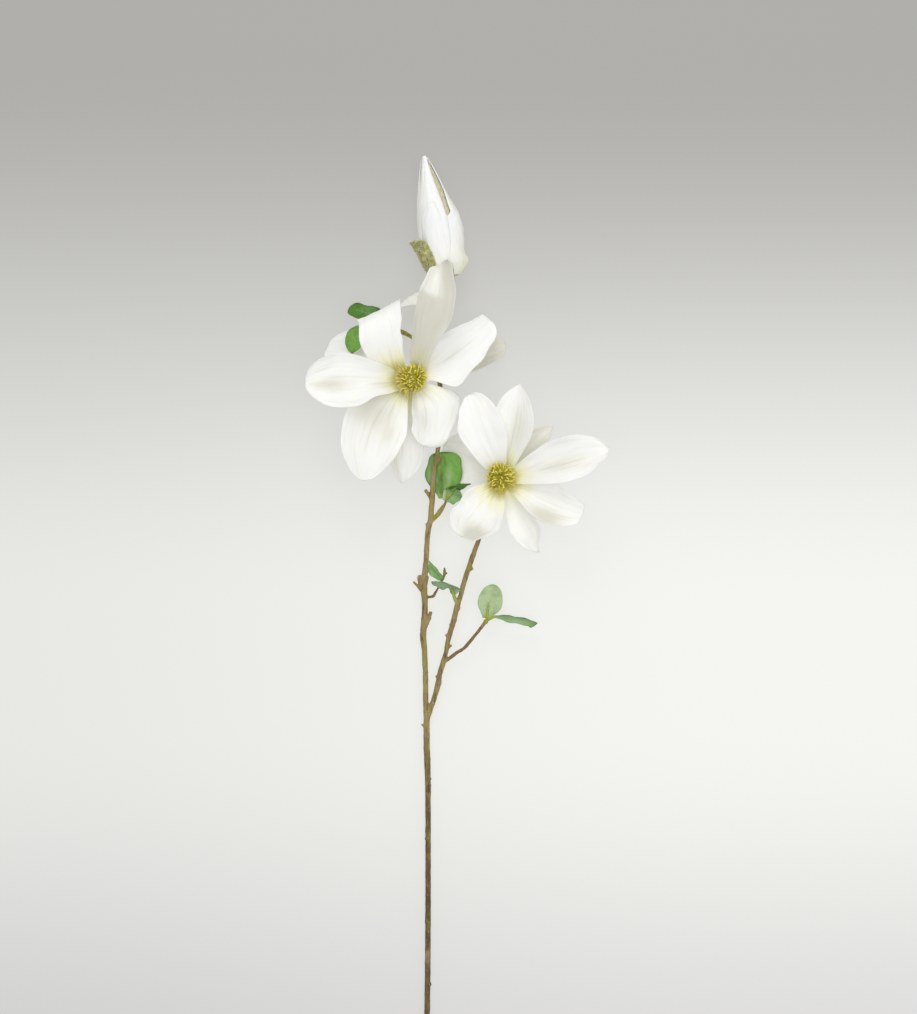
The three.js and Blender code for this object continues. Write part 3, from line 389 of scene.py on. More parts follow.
def blade(u, v, p):
    """Middle surface of a petal or leaf in its own frame, u from foot to tip, v across from -1 to 1."""
    start = math.radians(p.get("foot_az", p["az"]))
    points = np.zeros(u.shape + (3,)) + [p["r0"] * math.cos(start), p["r0"] * math.sin(start), p["h0"]]
    for i in range(STEPS):
        along, _ = heading(u * (i + 0.5) / STEPS, v, p)
        points += along * (p["length"] * u / STEPS)[..., None]
    along, side = heading(u, v, p)
    up = np.cross(along, side)
    roll = np.radians(p["roll"] + p["twist"] * u)[..., None]
    across = side * np.cos(roll) + up * np.sin(roll)
    normal = up * np.cos(roll) - side * np.sin(roll)
    half = p["width"] / 2 * width_share(u, p) * np.where(v > 0, p["left"], p["right"])
    half = half * (1 + 0.02 * waves(u, np.sign(v), p["phase"] + 40, 1.5, 4))
    for on, place, push, spread in p["dents"]:
        half = half + push * bump(u, place, spread) * (np.sign(v) == on) * (u < 0.995)
    half = np.maximum(half, TIP_HALF_WIDTH)
    opened = np.clip(u / OPEN_BY, 0, 1)
    cup = np.radians(p["cup"]) * (0.35 + 0.65 * opened)
    curl = np.radians(np.where(v > 0, p["curl_left"], p["curl_right"])) * opened**2
    size = np.abs(v)
    out = np.zeros(u.shape)
    lift = np.zeros(u.shape)
    for i in range(STEPS):
        s = size * (i + 0.5) / STEPS
        angle = math.radians(p["fold"]) + cup * s + curl * s**3
        out += np.cos(angle) * size / STEPS
        lift += np.sin(angle) * size / STEPS
    ruffle = p["wave"] * opened * size**2 * np.sin(u * 14 + p["phase"] + v * 2)
    ruffle = ruffle + p["frill"] * opened * size**3 * waves(u, v * 0.3, p["phase"] + 70, 2, 6)
    moved = across * (half * np.sign(v) * out)[..., None] + normal * (half * lift + ruffle)[..., None]
    return points + moved


def surface_normals(points):
    """Unit normals of a grid of points whose first axis runs along and second across."""
    return unit(np.cross(np.gradient(points, axis=0), np.gradient(points, axis=1)))


def bloom_turn(bloom):
    """The turn and place of a bloom's own frame, whose +Z is the axis that it opens along."""
    right, up = math.radians(bloom["lean_right"]), -math.radians(bloom["lean_up"])
    about_y = np.array(
        [[math.cos(right), 0, math.sin(right)], [0, 1, 0], [-math.sin(right), 0, math.cos(right)]])
    about_x = np.array([[1, 0, 0], [0, math.cos(up), -math.sin(up)], [0, math.sin(up), math.cos(up)]])
    return about_y @ about_x, spot([bloom["x"], bloom["y"], bloom["z"]])


def deselect():
    bpy.ops.object.select_all(action="DESELECT")


def pick(*pieces):
    """Selects only these, the last one active."""
    deselect()
    for piece in pieces:
        piece.select_set(True)
    bpy.context.view_layer.objects.active = pieces[-1]


def named(name):
    """Names the new active object and its mesh, and gives it back."""
    piece = bpy.context.active_object
    piece.name = name
    piece.data.name = name
    return piece


def points_of(piece):
    """The piece's vertices, one row each."""
    flat = np.empty(len(piece.data.vertices) * 3)
    piece.data.vertices.foreach_get("co", flat)
    return flat.reshape(-1, 3)


def move_points(piece, points):
    piece.data.vertices.foreach_set("co", np.ascontiguousarray(points, dtype=np.float32).ravel())
    piece.data.update()


def finish_modifier(piece, kind, **settings):
    """Adds a modifier and applies it."""
    pick(piece)
    bpy.ops.object.modifier_add(type=kind)
    modifier = piece.modifiers[-1]
    for key, value in settings.items():
        setattr(modifier, key, value)
    bpy.ops.object.modifier_apply(modifier=modifier.name)


def store(piece, name, values):
    """Keeps a number for each vertex, for the materials to read."""
    layer = piece.data.attributes.new(name, "FLOAT", "POINT")
    layer.data.foreach_set("value", np.ascontiguousarray(values, dtype=np.float32).ravel())


def store_even(piece, **masks):
    """Gives every vertex the same number in each of these masks."""
    for name, value in masks.items():
        store(piece, name, np.full(len(piece.data.vertices), value))


def sheet_piece(name, grid, shape):
    """A flat grid drawn into a curved sheet: shape(u, v) gives its points, in metres, and its masks."""
    along, across = grid
    deselect()
    bpy.ops.mesh.primitive_grid_add(x_subdivisions=along, y_subdivisions=across, size=1, calc_uvs=True)
    piece = named(name)
    flat = points_of(piece)
    i = np.rint((flat[:, 0] + 0.5) * along).astype(int)
    j = np.rint((flat[:, 1] + 0.5) * across).astype(int)
    u, v = np.meshgrid(np.linspace(0, 1, along + 1), np.linspace(-1, 1, across + 1), indexing="ij")
    points, masks = shape(u, v)
    move_points(piece, points[i, j])
    for mask, values in masks.items():
        store(piece, mask, values[i, j])
    return piece


def thicken(piece, thickness, edge_share, under=0):
    """Gives a sheet its thickness, thinner towards its margin, and its underside its own finish."""
    uv = np.empty(len(piece.data.loops) * 2)
    piece.data.uv_layers[0].data.foreach_get("uv", uv)
    corner = np.empty(len(piece.data.loops), int)
    piece.data.loops.foreach_get("vertex_index", corner)
    place = np.zeros((len(piece.data.vertices), 2))
    place[corner] = uv.reshape(-1, 2)
    body = 1 - np.abs(place[:, 1] * 2 - 1) ** 4 * smoothstep(place[:, 0], 0, 0.3)
    body = np.minimum(body, 1 - smoothstep(place[:, 0], 0.9, 1))
    group = piece.vertex_groups.new(name="body")
    for index, weight in enumerate(body):
        group.add([index], float(weight), "REPLACE")
    finish_modifier(piece, "SOLIDIFY", thickness=thickness, offset=0, vertex_group="body",
                    thickness_vertex_group=edge_share, material_offset=under, use_even_offset=False)
    points = points_of(piece)
    points[:, 2] = np.maximum(points[:, 2], 0)
    move_points(piece, points)
    pick(piece)
    piece.vertex_groups.clear()
    bpy.ops.object.shade_smooth()


def turned_piece(name, profile, grid, stretch):
    """A sphere drawn out to a profile of (radius, height), closed at both poles."""
    rings, sides = grid
    deselect()
    bpy.ops.mesh.primitive_uv_sphere_add(segments=sides, ring_count=rings, radius=1, calc_uvs=True)
    piece = named(name)
    flat = points_of(piece)
    outline = np.array(profile, float)
    walk = np.concatenate([[0], np.cumsum(np.linalg.norm(np.diff(outline, axis=0), axis=1))])
    share = (1 - np.arccos(np.clip(flat[:, 2], -1, 1)) / math.pi) * walk[-1]
    radius = np.interp(share, walk, outline[:, 0])
    height = np.interp(share, walk, outline[:, 1])
    angle = np.arctan2(flat[:, 1], flat[:, 0])
    pole = np.hypot(flat[:, 0], flat[:, 1]) < 1e-6
    radius = np.where(pole, 0, radius)
    move_points(piece, stretch(radius, height, angle))
    pick(piece)
    bpy.ops.object.shade_smooth()
    return piece


def smooth_line(stations, spacing):
    """Points and radii along a smooth line through [x, y, z, radius] stations, in millimetres."""
    knots = np.array([[*spot(s), s[3]] for s in stations])
    ends = [2 * knots[0] - knots[1], 2 * knots[-1] - knots[-2]]
    knots = np.vstack([ends[0], knots, ends[1]])
    line = []
    for a, b, c, d in zip(knots, knots[1:], knots[2:], knots[3:]):
        pairs = ((a, b), (b, c), (c, d))
        first, middle, last = (max(np.linalg.norm(q[:3] - p[:3]), 1e-6) ** 0.5 for p, q in pairs)
        leaving = ((b - a) / first - (c - a) / (first + middle) + (c - b) / middle) * middle
        arriving = ((c - b) / middle - (d - b) / (middle + last) + (d - c) / last) * middle
        count = max(int(np.linalg.norm(c[:3] - b[:3]) / spacing), 2)
        for t in np.arange(count) / count:
            point = b + leaving * t + (3 * (c - b) - 2 * leaving - arriving) * t**2
            point = point + (2 * (b - c) + leaving + arriving) * t**3
            point[3] = b[3] + (c[3] - b[3]) * t
            line.append(point)
    line.append(knots[-2])
    return np.array(line)


def tube(name, line, sides, growth=0):
    """A round closed bar along a line of [x, y, z, radius] points, in millimetres before centring."""
    deselect()
    bpy.ops.curve.primitive_nurbs_path_add(radius=1, location=(0, 0, 0))
    piece = named(name)
    curve = piece.data
    curve.splines.clear()
    spline = curve.splines.new("POLY")
    spline.points.add(len(line) - 1)
    places = (line[:, :3] + SHIFT) * MM
    for point, place, radius in zip(spline.points, places, line[:, 3]):
        point.co = (*place, 1)
        point.radius = radius + growth
    curve.dimensions = "3D"
    curve.bevel_depth = MM
    curve.bevel_resolution = max((sides - 4) // 2, 0)
    curve.use_fill_caps = True
    bpy.ops.object.convert(target="MESH")
    return named(name)


def scatter(name, model, places, seed):
    """One mesh of many copies of a small model: each place is (point, direction, size), in metres."""
    points = points_of(model)
    faces = [list(face.vertices) for face in model.data.polygons]
    reach = points[:, 2] / points[:, 2].max()
    every, all_faces, tips, tones = [], [], [], []
    rng = np.random.default_rng(seed)
    for number, (point, direction, size) in enumerate(places):
        axis = unit(direction)
        helper = (0, 0, 1) if abs(axis[2]) < 0.9 else (1, 0, 0)
        side = unit(np.cross(helper, axis))
        spin = rng.uniform(0, 2 * math.pi)
        first = side * math.cos(spin) + np.cross(axis, side) * math.sin(spin)
        every.append(point + (points * size) @ np.array([first, np.cross(axis, first), axis]))
        all_faces += [[corner + number * len(points) for corner in face] for face in faces]
        tips.append(reach)
        tones.append(np.full(len(points), rng.uniform(0, 1)))
    every = np.vstack(every)
    every[:, 2] = np.maximum(every[:, 2], REST_HEIGHT * MM)
    mesh = bpy.data.meshes.new(name)
    mesh.from_pydata(every.tolist(), [], all_faces)
    piece = bpy.data.objects.new(name, mesh)
    bpy.context.collection.objects.link(piece)
    store(piece, "reach", np.concatenate(tips))
    store(piece, "tone", np.concatenate(tones))
    bpy.data.objects.remove(model)
    pick(piece)
    bpy.ops.object.shade_smooth()
    return piece


def join(name, *pieces):
    """Makes one piece of several."""
    pick(*pieces)
    bpy.ops.object.join()
    return named(name)


def declare(piece, material, slot, *nodes):
    """Gives a piece its finish, if one is given, hangs it under the root body and hides the parts of the
    model that it replaces.
    """
    if material is not None:
        piece.data.materials.clear()
        piece.data.materials.append(material)
    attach(piece, "root")
    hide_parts(*nodes)


class Nodes:
    """A material's node tree, drawn from left to right."""

    def __init__(self, name, rough, gloss, **sockets):
        self.material = bpy.data.materials.new(name)
        self.material.use_nodes = True
        self.tree = self.material.node_tree
        self.shader = self.tree.nodes["Principled BSDF"]
        for key, value in {"Roughness": rough, "Specular IOR Level": gloss, **sockets}.items():
            self.feed(self.shader, key.replace("_", " "), value)

    def add(self, kind, **inputs):
        node = self.tree.nodes.new(kind)
        for key, value in inputs.items():
            self.feed(node, key.replace("_", " "), value)
        return node

    def feed(self, node, key, value):
        """Links a socket, or sets a value, a colour of three numbers as an opaque one."""
        socket = node.inputs[key]
        if isinstance(value, bpy.types.NodeSocket):
            self.tree.links.new(value, socket)
        elif socket.type == "RGBA" and len(value) == 3:
            socket.default_value = (*value, 1)
        else:
            socket.default_value = value

    def mask(self, name):
        node = self.tree.nodes.new("ShaderNodeAttribute")
        node.attribute_name = name
        return node.outputs["Fac"]

    def place(self, scale=(1, 1, 1), turn=(0, 0, 0), kind="Object"):
        where = self.tree.nodes.new("ShaderNodeTexCoord").outputs[kind]
        return self.add("ShaderNodeMapping", Vector=where, Scale=scale, Rotation=turn).outputs["Vector"]

    def axes(self, vector):
        return self.add("ShaderNodeSeparateXYZ", Vector=vector).outputs

    def noise(self, vector, scale, detail=4, rough=0.55):
        node = self.add("ShaderNodeTexNoise", Vector=vector, Scale=scale, Detail=detail, Roughness=rough)
        return node.outputs["Fac"]

    def spots(self, vector, scale):
        return self.add("ShaderNodeTexVoronoi", Vector=vector, Scale=scale).outputs["Distance"]

    def sums(self, operation, first, second):
        node = self.tree.nodes.new("ShaderNodeMath")
        node.operation = operation
        node.use_clamp = True
        self.feed(node, 0, first)
        self.feed(node, 1, second)
        return node.outputs[0]

    def plus(self, first, second):
        return self.sums("ADD", first, second)

    def times(self, first, second):
        return self.sums("MULTIPLY", first, second)

    def range(self, value, low, high, start=0.0, end=1.0):
        node = self.add(
            "ShaderNodeMapRange", Value=value, From_Min=low, From_Max=high, To_Min=start, To_Max=end)
        node.interpolation_type = "SMOOTHSTEP"
        return node.outputs["Result"]

    def mix(self, factor, first, second, kind="MIX"):
        node = self.tree.nodes.new("ShaderNodeMix")
        node.data_type = "RGBA"
        node.blend_type = kind
        for index, value in ((0, factor), (6, first), (7, second)):
            self.feed(node, index, value)
        return node.outputs[2]

    def layers(self, colour, *steps):
        """Lays colours over one another: each step is how much of it shows and the colour."""
        for factor, tone in steps:
            colour = self.mix(factor, colour, tone)
        return colour

    def finish(self, colour, height, strength, distance, rough=None):
        """Joins the colour, the relief and any uneven roughness to the shader."""
        self.feed(self.shader, "Base Color", colour)
        if rough is not None:
            self.feed(self.shader, "Roughness", rough)
        node = self.add("ShaderNodeBump", Height=height, Strength=strength, Distance=distance)
        self.feed(self.shader, "Normal", node.outputs["Normal"])
        return self.material


def petal_finish(look):
    """White satin petal: cream to olive-yellow at the foot, faint veins, and painted grey-green shade in
    the hollows and in long soft streaks.
    """
    n = Nodes("petal_white", 0.5, 0.35, Subsurface_Weight=0.3, Subsurface_Radius=(0.004, 0.0036, 0.002),
              Subsurface_Scale=0.5, Sheen_Weight=0.1)
    where, foot = n.place(), n.mask("foot")
    bands = n.noise(n.place((1.6, 13, 1), kind="UV"), 1, 4, 0.6)
    mottle = n.noise(where, 45, 5)
    # Painted shade: the petal's shade patches plus long soft streaks across its UV darken it towards the
    # grey-green.
    dusk = n.plus(n.mask("dusk"), n.range(bands, 0.48, 0.72, 0, 0.34))
    cream = n.range(n.plus(foot, n.range(mottle, 0.35, 0.75, 0, 0.16)), 0.18, 0.75)
    colour = n.layers(look.white, (cream, look.cream), (n.range(foot, 0.62, 1), look.foot))
    colour = n.mix(n.range(dusk, 0, 1, 0, 0.9), colour, look.dusk, "MULTIPLY")
    colour = n.mix(n.times(n.mask("vein"), 0.22), colour, look.vein)
    grain = n.times(n.noise(where, 700, 3), 0.35)
    return n.finish(colour, grain, 0.25, 0.0002, n.range(mottle, 0.3, 0.7, 0.42, 0.56))


def cone_finish(name, low, high, dark):
    """Yellow-green filaments, darker towards their feet, partly their own olive and partly painted shade
    between them.
    """
    n = Nodes(name, 0.55, 0.4)
    reach, grain = n.mask("reach"), n.noise(n.place(), 1500, 3)
    tips = n.times(reach, n.range(n.mask("tone"), 0, 1, 0.75, 1))
    colour = n.layers(
        dark,
        (n.range(reach, 0.3, 0.85), low),
        (n.range(tips, 0.55, 0.95), high),
        (n.range(grain, 0.4, 0.7, 0, 0.25), low),
    )
    return n.finish(colour, grain, 0.3, 0.0002)


def bark_finish(look):
    """Brown bark, olive higher up, with mossy and rosy patches, pale pores, dark cracks and a grain."""
    n = Nodes("bark", 0.75, 0.3)
    where = n.place()
    up = n.axes(where)["Y"]
    patches = n.noise(where, 60, 5)
    streaks = n.noise(n.place((1, 0.16, 1)), 420, 6, 0.65)
    mossy = n.noise(n.place((1, 0.5, 1)), 130, 3)
    lengthwise = n.noise(n.place((1, 0.12, 1)), 250, 2)
    fine = n.noise(where, 1400, 4)
    lively = n.range(up, -0.32, -0.12, 0.4, 1)
    pores = n.range(n.spots(n.place((1, 0.7, 1)), 330), 0.1, 0.22, 1, 0)
    colour = n.layers(
        look.brown,
        (n.plus(n.range(up, -0.2, -0.09), n.range(patches, 0.35, 0.7, -0.25, 0.25)), look.olive),
        (n.range(patches, 0.5, 0.72, 0, 0.6), look.grey),
        (n.times(n.range(mossy, 0.5, 0.64, 0, 0.6), lively), look.green),
        (n.times(n.range(mossy, 0.3, 0.45, 0.6, 0), lively), look.rosy),
        (n.times(n.range(lengthwise, 0.5, 0.62, 0, 0.6), lively), look.rosy),
        (n.times(n.range(lengthwise, 0.34, 0.46, 0.5, 0), lively), look.green),
        (n.times(n.mask("young"), n.range(patches, 0.3, 0.7, 0.95, 0.6)), look.young),
        (n.times(n.mask("dry"), n.range(patches, 0.3, 0.7, 0.9, 0.5)), look.dry),
        (n.range(streaks, 0.52, 0.68, 0, 0.85), look.crack),
        (n.times(pores, 0.45), look.pore),
    )
    height = n.plus(n.times(streaks, 0.7), n.times(fine, 0.3))
    return n.finish(colour, height, 0.7, 0.0005, n.range(fine, 0.3, 0.7, 0.62, 0.85))


def leaf_finish(name, face, vein, margin, rough, bloom):
    """Satin leaf: lighter ribs, darker patches, painted shade and a painted pale highlight, its margin in
    its own colour.
    """
    n = Nodes(name, rough, 0.45)
    rib = n.mask("vein")
    patches, cells = n.noise(n.place(), 90, 4), n.noise(n.place(), 900, 3)
    darker = tuple(level * 0.38 for level in face)
    colour = n.layers(
        face,
        (n.range(patches, 0.35, 0.7, 0, 0.5), darker),
        # Painted shade: the shade patches darken the face.
        (n.mask("dusk"), darker),
        # bloom here is the colour of a painted pale highlight, laid where the shine patches are.
        (n.times(n.mask("shine"), 0.75), bloom),
        (n.range(cells, 0.4, 0.7, 0, 0.2), vein),
        (n.times(rib, 0.5), vein),
        (n.range(n.mask("foot"), 0.5, 1, 0, 0.7), vein),
        (n.range(n.mask("edge"), 0.35, 0.95, 0, 0.85), margin),
    )
    return n.finish(colour, n.plus(n.times(rib, 0.6), n.times(cells, 0.4)), 0.35, 0.0002)


def grained_finish(name, rough, gloss, first, second, scale=(1, 1, 1)):
    """Two colours blended by a fine grain, for the leaf stalks and the bud's heart."""
    n = Nodes(name, rough, gloss)
    grain = n.noise(n.place(scale), 500, 4)
    return n.finish(n.mix(n.range(grain, 0.35, 0.7), first, second), grain, 0.3, 0.0003)


def bract_finish(look):
    """Felted olive scale under its hairs."""
    n = Nodes("bract_olive", 0.85, 0.2, Sheen_Weight=0.3)
    felt = n.noise(n.place(), 800, 6, 0.7)
    colour = n.mix(n.range(n.noise(n.place(), 120, 4), 0.35, 0.68), look.olive, look.brown)
    for turn in STRAND_TURNS:
        strands = n.noise(n.place((1, 0.2, 1), (0, 0, turn)), 420, 3)
        light, dark = n.range(strands, 0.52, 0.6, 0, 0.75), n.range(strands, 0.38, 0.46, 0.8, 0)
        colour = n.layers(colour, (light, look.hair), (dark, look.shadow))
    colour = n.mix(n.range(felt, 0.45, 0.7, 0, 0.4), colour, look.hair)
    return n.finish(colour, felt, 0.8, 0.0006)


def hair_finish(look):
    """Olive to straw-coloured hair, paler towards its tip."""
    n = Nodes("bract_hair", 0.6, 0.3)
    pale_ones, tips = n.range(n.mask("tone"), 0, 1), n.range(n.mask("reach"), 0.5, 1, 0, 0.6)
    colour = n.layers(look.olive, (pale_ones, look.hair), (tips, look.hair))
    return n.finish(colour, n.noise(n.place(), 2500, 2), 0.2, 0.0001)


def floor_finish(look):
    """Pale matt paper with a painted glow of its own that softens the shadows on it, and painted shade:
    greyer towards both ends and on the left.
    """
    n = Nodes("floor_paper", 0.9, 0.1, Emission_Strength=look.glow)
    axes = n.axes(n.place())
    across, along = axes["X"], axes["Y"]
    grain = n.noise(n.place(), 600, 4)
    left = n.times(n.range(across, -0.5, 0.3, 0.45, 0), n.range(along, 0.15, 0.5, 1, 0))
    colour = n.mix(n.range(along, 0, 0.56), look.near, look.far)
    colour = n.mix(n.range(along, -0.5, -0.1, 1, 0), colour, FLOOR_GREY)
    colour = n.mix(left, colour, FLOOR_SHADE, "MULTIPLY")
    n.feed(n.shader, "Emission Color", n.mix(n.range(grain, 0.3, 0.7, 0, 0.02), colour, (0.5, 0.5, 0.5)))
    return n.finish(n.mix(0.24, (0, 0, 0), colour), grain, 0.05, 0.0002)


def fan_veins(u, v, phase, pairs):
    """Fine veins that fan out from the foot and part on the way to the tip."""
    drift = v + 0.02 * waves(u, v, phase + 11, 1, 3)
    main = (0.5 + 0.5 * np.cos(2 * math.pi * pairs * drift)) ** 10
    parted = (0.5 + 0.5 * np.cos(4 * math.pi * pairs * drift)) ** 10 * smoothstep(u, 0.35, 0.6)
    rib = bump(v, 0, 0.03) * (1 - smoothstep(u, 0.5, 0.85))
    fade = 0.4 + 0.6 * smoothstep(waves(u, v, phase + 23, 1, 2.5), -0.6, 0.6)
    fade = fade * (0.14 + 0.86 * (1 - smoothstep(u, 0.1, 0.5)))
    return np.maximum(main, 0.7 * parted) * fade + 0.1 * rib


def patch_mask(u, v, start, patches):
    """Soft patches of a petal or leaf, over an even start."""
    mask = np.full(u.shape, float(start))
    for at, across, long, wide, strength in patches:
        mask = mask + strength * bump(u, at, long) * bump(v, across, wide)
    return np.clip(mask, 0, 1)


def colour_property(label, description, *levels):
    """A colour setting, its start given as a screen colour from 0 to 255."""
    return bpy.props.FloatVectorProperty(
        name=label, description=description, subtype="COLOR", default=rgb(*levels))


class PetalSettings(bpy.types.PropertyGroup):
    thickness: bpy.props.FloatProperty(
        name="Thickness", description="Thickness of a petal at its middle", default=0.0009, unit="LENGTH")
    edge: bpy.props.FloatProperty(
        name="Margin", description="Share of the thickness left at the margin", default=0.4, min=0.1, max=1)
    relief: bpy.props.FloatProperty(
        name="Vein depth", description="Depth of the fine veins, in millimetres", default=0.12)
    white: colour_property("White", "The petal's main colour", 252, 252, 247)
    cream: colour_property("Cream", "Colour towards the foot", 250, 248, 218)
    foot: colour_property("Foot", "Colour of the claw", 226, 218, 142)
    vein: colour_property("Vein", "Colour of the veins", 202, 198, 130)
    # Painted shade: the grey-green that darkens the back petals and the hollows.
    dusk: colour_property("Dusk", "Grey-green of the back petals and hollows", 213, 212, 204)


class ConeSettings(bpy.types.PropertyGroup):
    carpels: bpy.props.IntProperty(
        name="Carpels", description="Filaments on each cone", default=96, min=20, max=400)
    stamens: bpy.props.IntProperty(
        name="Stamens", description="Long stamens beside the upper cone", default=30, min=0, max=80)
    tip: colour_property("Tip", "Colour of the filaments' tips", 240, 232, 132)
    body: colour_property("Body", "Colour of the filaments", 220, 202, 48)
    # Partly painted shade: the dark that lies between the filaments' feet.
    dark: colour_property("Dark", "Colour between their feet", 124, 120, 20)
    gold: colour_property("Gold", "Colour of the stamens", 223, 208, 112)


class BudSettings(bpy.types.PropertyGroup):
    thickness: bpy.props.FloatProperty(
        name="Thickness", description="Thickness of a bud petal", default=0.0011, unit="LENGTH")
    # Painted shade: the heart's two khaki colours stand in for the shaded inside of the slit.
    heart: colour_property("Heart", "Colour inside the slit", 214, 209, 182)
    shade: colour_property("Heart shade", "Darker colour inside the slit", 192, 186, 150)
    shadow: colour_property("Bract shadow", "Colour between the bracts' hairs", 122, 114, 34)
    olive: colour_property("Bract", "Colour of the bracts", 192, 190, 110)
    brown: colour_property("Bract patches", "Darker patches of the bracts", 160, 146, 62)
    hair: colour_property("Hair", "Colour of the hairs", 238, 236, 192)
    hairs: bpy.props.IntProperty(
        name="Hairs", description="Hairs on the bracts", default=3600, min=0, max=6000)


class LeafSettings(bpy.types.PropertyGroup):
    thickness: bpy.props.FloatProperty(
        name="Thickness", description="Thickness of a leaf", default=0.00055, unit="LENGTH")
    deep: colour_property("Deep green", "Darkest upper faces", 72, 120, 26)
    cool: colour_property("Cool green", "Bluish upper faces", 142, 188, 114)
    bright: colour_property("Bright green", "Lighter upper faces", 122, 182, 80)
    grey: colour_property("Grey green", "Leaves seen nearly edge on", 146, 176, 134)
    pale: colour_property("Underside", "Pale undersides", 180, 204, 160)
    rib: colour_property("Ribs", "Colour of ribs and stalks", 176, 172, 60)
    margin: colour_property("Margin", "Reddish margin of the deep green leaf", 120, 82, 52)


class WoodSettings(bpy.types.PropertyGroup):
    voxel: bpy.props.FloatProperty(
        name="Fineness", description="Size of the bark's smallest shapes", default=0.00057, unit="LENGTH")
    relief: bpy.props.FloatProperty(
        name="Relief", description="Depth of the bark's relief, in millimetres", default=0.32)
    brown: colour_property("Brown", "Bark near the cut end", 94, 78, 54)
    olive: colour_property("Olive", "Bark higher up", 160, 142, 90)
    grey: colour_property("Grey", "Weathered patches", 170, 158, 126)
    crack: colour_property("Cracks", "Dark streaks", 74, 56, 36)
    pore: colour_property("Pores", "Small pale pores", 196, 184, 150)
    green: colour_property("Green", "Mossy patches", 152, 144, 70)
    young: colour_property("Young", "Young green wood", 164, 156, 62)
    rosy: colour_property("Rosy", "Reddish patches", 140, 108, 82)
    dry: colour_property("Dry", "Bark of the thin twigs", 120, 94, 62)


class StageSettings(bpy.types.PropertyGroup):
    # Painted light and shade: the floor runs from the bright near colour to the dark far one.
    near: bpy.props.FloatVectorProperty(
        name="Near", description="Floor by the cut end", subtype="COLOR", default=(0.9, 0.9, 0.87))
    far: bpy.props.FloatVectorProperty(
        name="Far", description="Floor beyond the bud", subtype="COLOR", default=(0.42, 0.415, 0.395))
    glow: bpy.props.FloatProperty(
        name="Floor glow", description="Share of its colour that the floor gives off", default=0.78)
    sky: bpy.props.FloatProperty(
        name="Room light", description="Strength of the even light all round", default=0.53)
    above: bpy.props.FloatProperty(
        name="Light above", description="Power of the soft light overhead", default=20, subtype="POWER")
    key: bpy.props.FloatProperty(
        name="Key light", description="Power of the soft light beyond the bud", default=20, subtype="POWER")
    fill: bpy.props.FloatProperty(
        name="Fill light", description="Power of the weak light low on the right", default=3.5,
        subtype="POWER")


GROUPS = {
    "magnolia_petals": PetalSettings, "magnolia_cones": ConeSettings, "magnolia_bud": BudSettings,
    "magnolia_leaves": LeafSettings, "magnolia_wood": WoodSettings, "magnolia_stage": StageSettings,
}


def bloom_petal(name, own, bloom, look):
    """One petal of an open bloom, veined, ruffled at its margin and thin at its edge."""
    p = {**PETAL, **own}
    turn, place = bloom_turn(bloom)

    def shape(u, v):
        points = blade(u, v, p)
        vein = fan_veins(u, v, p["phase"], PETAL_VEINS)
        relief = -look.relief * vein + 0.3 * waves(u * 2, v, p["phase"] + 31, 1, 2.4)
        relief = relief + 0.2 * waves(u * 0.35, v, p["phase"] + 57, 2, 4) * smoothstep(u, 0.05, 0.3)
        middle = bump(v, 0, 0.14) * smoothstep(u, 0.06, 0.25) * (1 - smoothstep(u, 0.5, 0.9))
        points = points + surface_normals(points) * (relief - p["groove"] * middle)[..., None]
        ragged = (u * p["length"] + 6 * v**2) * (1 + 0.16 * waves(u * 3, v * 5, p["phase"] + 5, 1, 2))
        foot = (1 - smoothstep(ragged, 2, 46)) * p["tint"]
        # Painted shade from the patches, made lighter past the crease on the petal's left side.
        dusk = patch_mask(u, v, p["dusk"], p["shades"])
        if p["crease"]:
            edge = p["crease_at"] + 0.02 * v
            dusk = dusk * (1 - 0.6 * smoothstep(u, edge - 0.04, edge + 0.03) * smoothstep(v, -0.7, 0.2))
        return settle(points @ turn.T + place), {"foot": foot, "vein": vein, "dusk": dusk}

    piece = sheet_piece(name, PETAL_GRID, shape)
    thicken(piece, look.thickness, look.edge)
    return piece


class MAGNOLIA_OT_petals(bpy.types.Operator):
    """Build the petals of both open blooms"""

    bl_idname = "magnolia.petals"
    bl_label = "Petals"

    def execute(self, context):
        look = context.scene.magnolia_petals
        finish = petal_finish(look)
        for bloom_name, bloom in BLOOMS.items():
            for petal, own in bloom["petals"].items():
                piece = bloom_petal(f"{bloom_name}_petal_{petal}", own, bloom, look)
                declare(piece, finish, "petal", f"{bloom_name}_petals")
        return {"FINISHED"}


class MAGNOLIA_OT_receptacles(bpy.types.Operator):
    """Build the green receptacle under each bloom"""

    bl_idname = "magnolia.receptacles"
    bl_label = "Receptacles"

    def execute(self, context):
        look = context.scene.magnolia_leaves
        finish = leaf_finish("receptacle_green", look.pale, look.rib, look.rib, 0.6, look.pale)
        for bloom_name, bloom in BLOOMS.items():
            turn, place = bloom_turn(bloom)

            def stretch(radius, height, angle, turn=turn, place=place):
                ribbed = radius * (1 + 0.05 * np.cos(9 * angle) + 0.02 * waves(height / 5, angle, 3, 1, 2))
                return settle(round_points(ribbed, height, angle) @ turn.T + place)

            piece = turned_piece(f"{bloom_name}_receptacle", RECEPTACLE, RECEPTACLE_GRID, stretch)
            store_even(piece, vein=0.0, edge=0.0, foot=0.0, dusk=0.0, shine=0.0)
            declare(piece, finish, "petal", f"{bloom_name}_petals")
        return {"FINISHED"}


